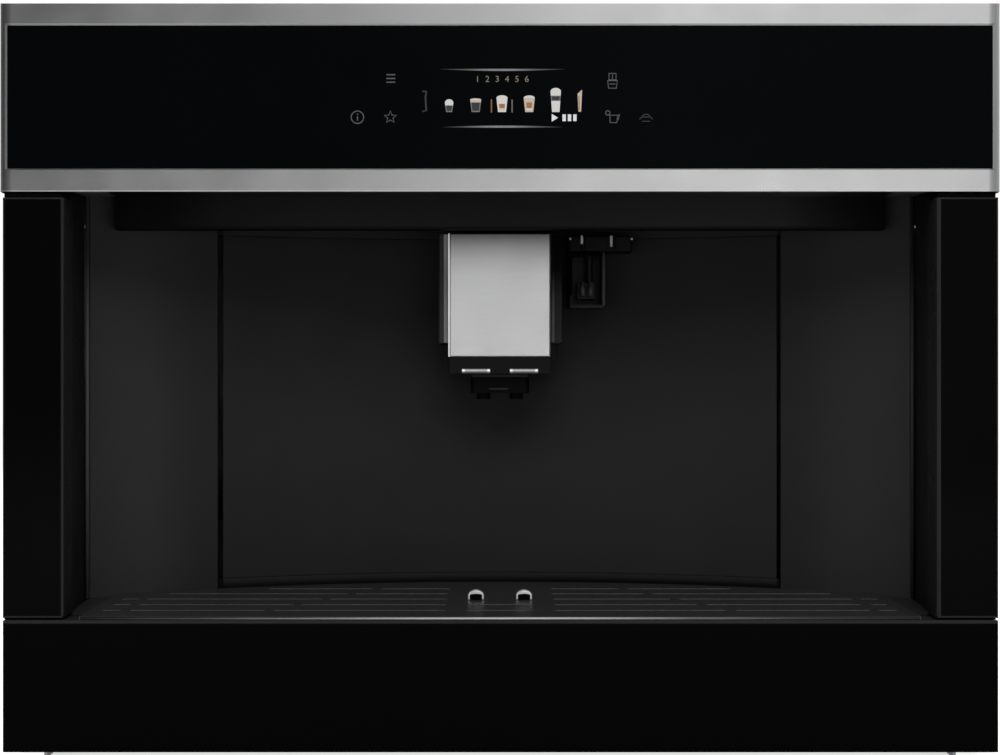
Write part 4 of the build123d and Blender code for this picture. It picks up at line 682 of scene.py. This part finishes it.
def display_arc_piece(name, z, bow, half):
    """A light line that thins out to both ends."""
    bm = bmesh.new()
    steps = 24
    upper, lower = [], []
    for number in range(steps + 1):
        share = 2 * number / steps - 1
        x = DISPLAY_X + share * half
        middle = z + bow * share**2
        thick = ARC_THICK * (1 - share**2) + ARC_THIN
        upper.append((x, middle + thick / 2))
        lower.append((x, middle - thick / 2))
    for number in range(steps):
        after = number + 1
        flat_shape(bm, [upper[number], upper[after], lower[after], lower[number]])
    add_piece(name, bm, display_arc, "machine")


display_arc_piece("display_line_top", ARC_TOP, 0.45, ARC_HALF)
display_arc_piece("display_line_bottom", ARC_BOTTOM, -0.3, ARC_HALF - 1.5)


def cup_layers(name, x, width, height, layers, foam):
    """A drinking glass in bands, each a share of its width, with a rounded head of foam."""
    for number, (low, high, share, material) in enumerate(layers):
        bm = bmesh.new()
        half_low, half_high = [
            share * width / 2 * (1 - CUP_TAPER + CUP_TAPER * place) for place in (low, high)
        ]
        low, high = CUP_BASE + height * low, CUP_BASE + height * high
        outline = [(x - half_low, low), (x + half_low, low), (x + half_high, high), (x - half_high, high)]
        flat_shape(bm, outline, SIGN_LIFT + LAYER_STEP * number)
        add_piece(f"{name}_band_{number}", bm, material, "machine")
    bm = bmesh.new()
    turns = [math.pi * (1 - i / 14) for i in range(15)]
    dome = [(width / 2 * math.cos(t), height + foam * math.sin(t)) for t in turns]
    flat_shape(bm, [(x + a, CUP_BASE + b) for a, b in dome])
    add_piece(f"{name}_foam", bm, cup_foam, "machine")


cup_layers(
    "cup_small", -30.3, 5.0, 5.6,
    [(0, 1, 1, cup_line), (0.12, 0.72, 0.74, cup_glass), (0.7, 1, 1, cup_foam)], 2.0,
)
cup_layers(
    "cup_low", -14.5, 6.6, 7.4,
    [(0, 1, 1, cup_line), (0.1, 0.76, 0.8, cup_glass), (0.78, 1, 1, cup_milk)], 0.7,
)
cup_layers(
    "cup_chosen", 1.2, 6.6, 8.4,
    [(0, 1, 1, cup_foam), (0.12, 0.2, 0.7, cup_milk), (0.26, 0.58, 0.62, cup_coffee)], 1.6,
)
cup_layers(
    "cup_next", 17.4, 6.6, 8.4,
    [(0, 1, 1, cup_milk), (0.14, 0.24, 0.7, cup_foam), (0.28, 0.68, 0.58, cup_coffee)], 1.5,
)
cup_layers(
    "cup_tall", 33.2, 6.2, 12.2,
    [(0, 0.54, 1, cup_foam), (0.54, 0.8, 1, cup_line), (0.58, 0.76, 0.8, cup_glass),
     (0.8, 1, 1, cup_foam)], 2.2,
)

bm = bmesh.new()
cut_glass = [
    (-46.3, CUP_BASE + 0.4), (-43.9, CUP_BASE + 0.8), (-44.4, 399), (-43.9, 402.6), (-46.2, 402.6),
]
ribbon(bm, cut_glass, 1.0)
add_piece("cup_part_left", bm, cup_glass, "machine")
bm = bmesh.new()
flat_shape(bm, [(46.7, CUP_BASE + 0.2), (48.3, CUP_BASE + 0.2), (48.9, 403.6), (46.2, 401.2)])
add_piece("cup_part_right", bm, cup_milk, "machine")
bm = bmesh.new()
flat_shape(bm, [(46.9, 391.4), (47.5, 391.4), (47.3, 400.2), (46.7, 399.8)], 0.09)
add_piece("cup_part_edge", bm, cup_coffee, "machine")

for name, x, material in (("mark_left", -5.1, sign_orange), ("mark_right", 7.2, sign_mark)):
    bm = bmesh.new()
    left, right = x - MARK_HALF, x + MARK_HALF
    flat_shape(bm, [(left, MARK_LOW), (right, MARK_LOW), (right, MARK_HIGH), (left, MARK_HIGH)])
    add_piece(name, bm, material, "machine")

bm = bmesh.new()
flat_shape(bm, [(30.8, 384.6), (34.6, 386.9), (30.8, 389.2)])
for step in range(3):
    left = 37.2 + 3.2 * step
    flat_shape(bm, [(left, 384.9), (left + 2.0, 384.9), (left + 2.0, 388.9), (left, 388.9)])
add_piece("mark_run", bm, sign_white, "machine")

DIGIT_SPREAD = 1.35
DIGIT_DEPTH = 0.02
DIGIT_LIFT = 0.05


def numbers(name, words, x, z, size, material):
    """Plain numbers on the display."""
    curve = bpy.data.curves.new(name, "FONT")
    curve.body = words
    curve.size = size * MM
    curve.extrude = DIGIT_DEPTH * MM
    curve.space_character = DIGIT_SPREAD
    curve.align_x = "CENTER"
    curve.align_y = "CENTER"
    curve.materials.append(material)
    obj = bpy.data.objects.new(name, curve)
    obj.location = at(x, GLASS_FACE - DIGIT_LIFT, z)
    obj.rotation_euler = (math.radians(90), 0, 0)
    bpy.context.scene.collection.objects.link(obj)
    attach(obj, "machine")


numbers("display_numbers", "1 2 3 4 5 6", 1.3, 409.8, 5.2, sign_title)


# ------------------------------------------------------------------ trims and small parts


def close_loop(bm, first, second):
    """Faces between two loops of the same number of points."""
    for number in range(len(first)):
        after = (number + 1) % len(first)
        bm.faces.new((first[number], first[after], second[after], second[number]))


def turned(name, profile, place, material, body, slot, steps=32):
    """An upright turned piece from a profile of radius and height in mm."""
    bm = bmesh.new()
    rings = []
    for radius, height in profile:
        loop = []
        for number in range(steps):
            turn = 2 * math.pi * number / steps
            offset = Vector((radius * math.cos(turn), radius * math.sin(turn), height)) * MM
            loop.append(bm.verts.new(place + offset))
        rings.append(loop)
    for low, high in zip(rings, rings[1:]):
        close_loop(bm, low, high)
    bm.faces.new(rings[0][::-1])
    bm.faces.new(rings[-1])
    add_piece(name, bm, material, body, True)


def strip(name, x, depth, z, bevel, material, body, slot):
    """A block with rounded edges, from its two ends along width, depth and height in mm."""
    bm = bmesh.new()
    bmesh.ops.create_cube(bm, size=1)
    low, high = at(x[0], depth[0], z[0]), at(x[1], depth[1], z[1])
    centre, size = (low + high) / 2, high - low
    for vert in bm.verts:
        vert.co = centre + vert.co * size
    edges = list(bm.edges)
    bmesh.ops.bevel(bm, geom=edges, offset=bevel * MM, segments=3, affect="EDGES", profile=0.5)
    add_piece(name, bm, material, body, True)


def prism(near, far):
    """A closed body between two like outlines of points."""
    bm = bmesh.new()
    near = [bm.verts.new(point) for point in near]
    far = [bm.verts.new(point) for point in far]
    close_loop(bm, near, far)
    bm.faces.new(near)
    bm.faces.new(far)
    bmesh.ops.recalc_face_normals(bm, faces=bm.faces)
    return bm


def upright(name, outline, low, high, material, body, smooth):
    """An upright strip over an outline of width and depth in mm."""
    near, far = [[at(x, depth, z) for x, depth in outline] for z in (low, high)]
    add_piece(name, prism(near, far), material, body, smooth)


# the niche wall is an arc around an upright line in front of the machine
NICHE_RADIUS = 540.0
ARC_CENTRE = -382.0
DOOR_LEFT, DOOR_RIGHT = -187.5, 187.3
SKIN_FRONT, SKIN_BACK = NICHE_RADIUS - 0.35, NICHE_RADIUS - 0.05
SKIN_LOW, SKIN_HIGH = 96.1, 328.4


def door_skin(steps=48):
    """Thin facing over the whole curved front of the door, closing the seams above and below."""
    bm = bmesh.new()
    corners = [
        (SKIN_FRONT, SKIN_LOW), (SKIN_FRONT, SKIN_HIGH), (SKIN_BACK, SKIN_HIGH), (SKIN_BACK, SKIN_LOW),
    ]
    columns = []
    for number in range(steps + 1):
        x = DOOR_LEFT + (DOOR_RIGHT - DOOR_LEFT) * number / steps
        places = [at(x, ARC_CENTRE + math.sqrt(radius**2 - x**2), z) for radius, z in corners]
        columns.append([bm.verts.new(place) for place in places])
    for left, right in zip(columns, columns[1:]):
        close_loop(bm, left, right)
    bm.faces.new(columns[0])
    bm.faces.new(columns[-1][::-1])
    bmesh.ops.recalc_face_normals(bm, faces=bm.faces)
    add_piece("door_skin", bm, niche_dark, "door")


def beside(side, inner, outer):
    """Two ends in width at one side, -1 for left, from two distances to the middle."""
    return tuple(sorted((side * inner, side * outer)))


def column_trims(name, side, line, reach):
    """Painted highlight lines on a front column's face and inner side, facings on its outer side and the
    panel's, and painted shadow in the gaps above and below it.

    The line is given by its two distances to the middle, the outer side by its reach.
    """
    (inner, outer), (front, back), (low, high) = ends("column_right")
    _, (panel_front, panel_back), (panel_low, panel_high) = ends("lower_panel")
    face = (front - 0.4, front)
    black = ("machine", "gloss_black")
    dark = ("machine", "niche_dark")
    width = beside(side, *line)
    # painted highlight lines on the column's face and inner side
    strip(f"column_line_{name}", width, face, (low + 1.4, high - 1.1), 0.12, dim_highlight, *black)
    width = beside(side, inner + 0.3, outer - 0.3)
    for place, foot in (("top", high - 1.3), ("low", low + 0.4)):
        strip(f"column_{place}_{name}", width, face, (foot, foot + 1), 0.12, dim_highlight, *black)
    strip(
        f"column_side_{name}", beside(side, inner - 0.3, inner), (front + 0.4, back - 0.2),
        (low + 0.6, high - 0.3), 0.1, dim_highlight, *black,
    )
    width = beside(side, outer - 0.1, reach)
    strip(
        f"column_outer_{name}", width, (front - 0.7, back - 0.7),
        (low + 0.1, high - 0.2), 0.25, gloss_black, *black,
    )
    strip(
        f"panel_outer_{name}", width, (panel_front + 0.3, panel_back - 0.3),
        (panel_low + 0.1, panel_high - 0.2), 0.25, panel_black, "drip_tray", "gloss_black",
    )
    width, depth = beside(side, inner + 0.7, outer - 0.1), (front + 0.3, back - 0.3)
    # painted shadow in the gaps above and below the column
    strip(f"column_gap_{name}", width, depth, (high + 0.05, high + 2.45), 0.2, shadow_black, *dark)
    strip(f"column_under_shadow_{name}", width, depth, (low - 0.8, low), 0.1, shadow_black, *dark)


BEAD_DEPTH = 88.4
BEAD_HALF_DEPTH = 1.6
BEAD_LOW, BEAD_HIGH = 88.2, 352.5


def wall_bead(name, x, half_width, rounds=6):
    """A rounded bead on the front edge of a wall panel, coloured lighter as a painted highlight."""
    back = BEAD_DEPTH + BEAD_HALF_DEPTH
    outline = [(x + half_width, back), (x - half_width, back)]
    for number in range(rounds + 1):
        turn = math.pi * (1 + number / rounds)
        place = (x + half_width * math.cos(turn), BEAD_DEPTH + BEAD_HALF_DEPTH * math.sin(turn))
        outline.append(place)
    upright(name, outline, BEAD_LOW, BEAD_HIGH, bead_highlight, "machine", True)


def head_trim():
    """Underside of the control head, with painted shade and light along it."""
    (left, right), (front, back), (low, _) = ends("control_frame")
    strip(
        "head_underside", (left + 0.7, right - 0.7), (front + 0.7, back - 0.5), (low - 0.5, low - 0.01),
        0.1, head_shade, "machine", "niche_dark",
    )


def grille_trim():
    """Bright front edge of the cup grille, with a painted highlight brightest in its middle."""
    (left, right), (front, _), (_, top) = ends("cup_grille")
    strip(
        "grille_lip", (left + 0.6, right - 0.6), (front - 0.95, front - 0.05), (top - 1.7, top - 0.2),
        0.4, lip_steel, "grille", "chrome",
    )


OUTLET_FRONT = 106.0


def spout_trims():
    """Painted highlight and shade bands beside the spout, the rim of its plate, and painted highlight
    strips on its outlets.
    """
    _, (front, _), (low, high) = ends("spout_housing")
    door = ("door", "spout_black")
    tall, short = (low + 0.4, high - 0.3), (low + 0.6, high - 0.5)
    # painted highlight and shade on the guide wings
    strip("guide_band_left", (-37.3, -34.2), (front - 0.3, front + 0.2), tall, 0.15, guide_highlight, *door)
    strip("guide_shade_right", (34.0, 41.0), (front - 0.2, front + 0.2), tall, 0.15, guide_shade, *door)
    strip("guide_band_right", (34.2, 36.2), (front - 0.4, front), short, 0.15, guide_gleam, *door)
    (edge, _), (front, back), (low, high) = ends("spout_plate")
    front, back = front + 0.1, back - 0.1
    rim = [(edge, back), (edge - 0.8, back), (edge - 0.8, front + 0.28), (edge, front)]
    upright(
        "plate_rim_left", rim, low + 0.1, high - 0.1, rim_steel, "coffee_spout", False,
    )
    back = OUTLET_FRONT - 0.1
    spout = ("coffee_spout", "spout_black")
    # painted highlights on the outlet block
    strip("outlet_highlight_bar", (-19.0, 18.8), (back - 0.4, back), (232.5, 234.6), 0.1, dim_highlight, *spout)
    strip("outlet_gleam", (-7.6, 5.4), (back - 0.3, back), (224.1, 225.2), 0.1, dim_highlight, *spout)


PIN_TOP = 328.3
PIN_DEPTH = 123.5
STUD_DEPTH, STUD_LOW = 123.9, 325.3
TIP_DEPTH, TIP_LOW = 128.6, 287.4


def nozzle_trims():
    """Pins and studs of the nozzle holder, the two nozzle ends, and painted shade and a painted highlight
    along the edges of their sheath.
    """
    for name, x, low in (("left", 55.3, 322.4), ("right", 75.3, 320.6)):
        top = PIN_TOP - low
        profile = [(0.6, 0), (1.0, 0.4), (1.0, top - 0.4), (0.6, top)]
        turned("nozzle_pin_" + name, profile, at(x, PIN_DEPTH, low), pin_steel, "door", "chrome")
    profile = [(0.5, 0), (0.8, 0.3), (0.8, 1.2), (0.4, 1.5)]
    for name, x in (("left", 47.6), ("right", 89.2)):
        turned("nozzle_stud_" + name, profile, at(x, STUD_DEPTH, STUD_LOW), pin_steel, "door", "chrome")
    sheath = ("water_spout", "spout_black")
    profile = [(1.2, 0), (2.0, 0.3), (2.0, 6.6), (1.6, 7.4), (1.6, 9.6), (1.1, 9.9)]
    for name, x in (("left", 56.2), ("right", 61.8)):
        turned("nozzle_tip_" + name, profile, at(x, TIP_DEPTH, TIP_LOW), nozzle_grey, *sheath)
    (left, right), (front, _), (low, high) = ends("water_spout")
    split, top, near = left + 2.7, high - 0.1, front - 0.3
    for name, width, foot in (
        ("left", (left + 0.1, split), 288.0),
        ("top", (split, right - 1.9), top - 3),
    ):
        strip("sheath_shade_" + name, width, (near, front), (foot, top), 0.1, shadow_black, *sheath)
    strip(
        "sheath_gleam", (right - 1.8, right - 0.3), (near, front + 0.1), (low + 1.5, high - 1.3),
        0.15, nozzle_grey, *sheath,
    )


DOME_X = 15.4
HOOD_DEPTH, HOOD_LENGTH, HOOD_EDGE = 68.5, 4.5, 0.7
MOUTH_DEPTH, MOUTH_LENGTH = 68.3, 0.3
# half width, foot, top of the straight sides and crown
HOOD_ARCH = (5.1, 89.8, 92.4, 95.9)
MOUTH_ARCH = (3.9, 89.9, 92.9, 93.7)


def arched_block(x, arch, depth, length, steps=16):
    """A block with straight sides and an arched top."""
    half, low, side, crown = arch
    outline = [(x + half, low)]
    for number in range(steps + 1):
        turn = math.pi * number / steps
        outline.append((x + half * math.cos(turn), side + (crown - side) * math.sin(turn)))
    outline.append((x - half, low))
    near, far = [[at(a, place, z) for a, z in outline] for place in (depth, depth + length)]
    return prism(near, far)


def drain_hood(name, x):
    """Hood over a drain of the grille, pale as a painted reflection of its chrome, with painted shadow in
    its mouth.
    """
    bm = arched_block(x, HOOD_ARCH, HOOD_DEPTH, HOOD_LENGTH)
    middle = at(0, HOOD_DEPTH + HOOD_LENGTH / 2, 0).y
    edges = [edge for edge in bm.edges if all(vert.co.y < middle for vert in edge.verts)]
    bmesh.ops.bevel(bm, geom=edges, offset=HOOD_EDGE * MM, segments=3, affect="EDGES", profile=0.5)
    add_piece(f"drain_hood_{name}", bm, dome_steel, "grille")
    bm = arched_block(x, MOUTH_ARCH, MOUTH_DEPTH, MOUTH_LENGTH)
    add_piece(f"drain_mouth_{name}", bm, shadow_black, "grille")


grille_trim()
door_skin()
column_trims("left", -1, (260.0, 261.5), 296.0)
column_trims("right", 1, (260.3, 262.6), 296.6)
wall_bead("wall_bead_left", -269.6, 1.4)
wall_bead("wall_bead_right", 269.3, 1.2)
spout_trims()
head_trim()
nozzle_trims()
drain_hood("left", -DOME_X)
drain_hood("right", DOME_X)


# ------------------------------------------------------------------ room, lamps and camera

FLOOR_REACH = 6.0
# the floor's own light for the camera, and the share of it that mirrors and clear parts show
FLOOR_GLOW = 0.66
GLOW_IN_MIRRORS = 0.3


def studio_floor():
    """A pale floor that takes the object's shadow."""
    mesh = bpy.data.meshes.new("studio_floor")
    corners = [(FLOOR_REACH * x, FLOOR_REACH * y, 0) for x, y in ((-1, -1), (1, -1), (1, 1), (-1, 1))]
    mesh.from_pydata(corners, [], [(0, 1, 2, 3)])
    floor = bpy.data.objects.new("studio_floor", mesh)
    paint = Paint("floor_paint", Specular_IOR_Level=0.2)
    cloud = paint.noise(2)
    colour = paint.mix(paint.spread(cloud, 0, 1), grey(0.84), grey(0.88))
    fine = paint.noise(300)
    path = paint.node("ShaderNodeLightPath")
    kinds = {0: path.outputs["Is Glossy Ray"], 1: path.outputs["Is Transmission Ray"]}
    either = paint.node("ShaderNodeMath", kinds, operation="MAXIMUM")
    kinds = {0: path.outputs["Is Camera Ray"], 1: paint.times(either.outputs[0], GLOW_IN_MIRRORS)}
    shown = paint.node("ShaderNodeMath", kinds, operation="MAXIMUM")
    paint.put(paint.shader.inputs["Emission Color"], grey(1))
    paint.put(paint.shader.inputs["Emission Strength"], paint.times(shown.outputs[0], FLOOR_GLOW))
    floor.data.materials.append(
        paint.finish(colour, paint.spread(cloud, 0.6, 0.7), paint.bump(fine, 0.1, 0.0001))
    )
    bpy.context.scene.collection.objects.link(floor)


# the room's brightness in mirrors, from -1 at the left to 1 at the right
MIRRORED = [
    (-1, 0.42), (-0.8, 0.5), (-0.68, 0.8), (-0.52, 0.22), (-0.42, 0), (-0.26, 0), (-0.14, 0.12),
    (0.02, 0.44), (0.1, 0.68), (0.2, 0.62), (0.3, 0.4), (0.42, 0.3), (0.6, 0.45), (1, 0.42),
]
MIRRORED_TOP = 2.0
ROOM_LIGHT = 0.32


def studio_world():
    """White to look at, soft grey as a light, and in mirrors a studio that is darker to the left."""
    world = bpy.data.worlds.new("studio")
    bpy.context.scene.world = world
    world.use_nodes = True
    tree = world.node_tree
    nodes, links = tree.nodes, tree.links
    nodes.clear()

    def node(kind, **settings):
        made = nodes.new(kind)
        for name, value in settings.items():
            setattr(made, name, value)
        return made

    path = node("ShaderNodeLightPath")
    coords = node("ShaderNodeTexCoord")
    split = node("ShaderNodeSeparateXYZ")
    links.new(coords.outputs["Generated"], split.inputs[0])
    share = node("ShaderNodeMapRange")
    links.new(split.outputs["X"], share.inputs[0])
    for socket, value in zip(share.inputs[1:5], (-1, 1, 0, 1)):
        socket.default_value = value
    fall = node("ShaderNodeValToRGB")
    links.new(share.outputs[0], fall.inputs[0])
    band = fall.color_ramp.elements
    while len(band) < len(MIRRORED):
        band.new(0.5)
    for element, (place, level) in zip(band, MIRRORED):
        element.position = (place + 1) / 2
        element.color = (level, level, level, 1)
    lit = node("ShaderNodeBackground")
    lit.inputs["Strength"].default_value = ROOM_LIGHT
    mirrored = node("ShaderNodeBackground")
    mirrored.inputs["Strength"].default_value = MIRRORED_TOP
    links.new(fall.outputs[0], mirrored.inputs["Color"])
    seen = node("ShaderNodeBackground")
    seen.inputs["Strength"].default_value = 1.0
    for background in (lit, seen):
        background.inputs["Color"].default_value = (1, 1, 1, 1)
    either = node("ShaderNodeMath", operation="MAXIMUM")
    links.new(path.outputs["Is Glossy Ray"], either.inputs[0])
    links.new(path.outputs["Is Transmission Ray"], either.inputs[1])
    first = node("ShaderNodeMixShader")
    links.new(either.outputs[0], first.inputs[0])
    links.new(lit.outputs[0], first.inputs[1])
    links.new(mirrored.outputs[0], first.inputs[2])
    second = node("ShaderNodeMixShader")
    links.new(path.outputs["Is Camera Ray"], second.inputs[0])
    links.new(first.outputs[0], second.inputs[1])
    links.new(seen.outputs[0], second.inputs[2])
    out = node("ShaderNodeOutputWorld")
    links.new(second.outputs[0], out.inputs[0])


def soft_lamp(name, place, aim, width, height, power, mirrored):
    """A wide soft lamp that looks at a point, and that shows in mirrors or not."""
    data = bpy.data.lights.new(name, "AREA")
    data.shape = "RECTANGLE"
    data.size = width
    data.size_y = height
    data.energy = power
    lamp = bpy.data.objects.new(name, data)
    lamp.location = place
    lamp.rotation_euler = (Vector(aim) - Vector(place)).to_track_quat("-Z", "Y").to_euler()
    lamp.visible_glossy = mirrored
    bpy.context.scene.collection.objects.link(lamp)


LENS, SENSOR = 54.45, 36.0
CAMERA_PLACE = (0, -1.1065, 0.2322)


def photo_camera():
    """The camera at the photograph's viewpoint."""
    data = bpy.data.cameras.new("camera")
    data.lens = LENS
    data.sensor_width = SENSOR
    camera = bpy.data.objects.new("camera", data)
    camera.location = CAMERA_PLACE
    camera.rotation_euler = (math.radians(90), 0, 0)
    bpy.context.scene.collection.objects.link(camera)
    bpy.context.scene.camera = camera


# name, place, the point it looks at, width, height, power in watts, and whether mirrors show it
lamps = [
    ("lamp_front", (0.05, -2.2, 1.75), (0, -0.1, 0.2), 1.8, 1.1, 48, False),
    ("lamp_back", (-0.6, 2.2, 1.6), (0, 0, 0.25), 1.6, 1.0, 26, True),
]

studio_floor()
studio_world()
for lamp in lamps:
    soft_lamp(*lamp)
photo_camera()
bpy.context.scene.view_settings.view_transform = "Standard"
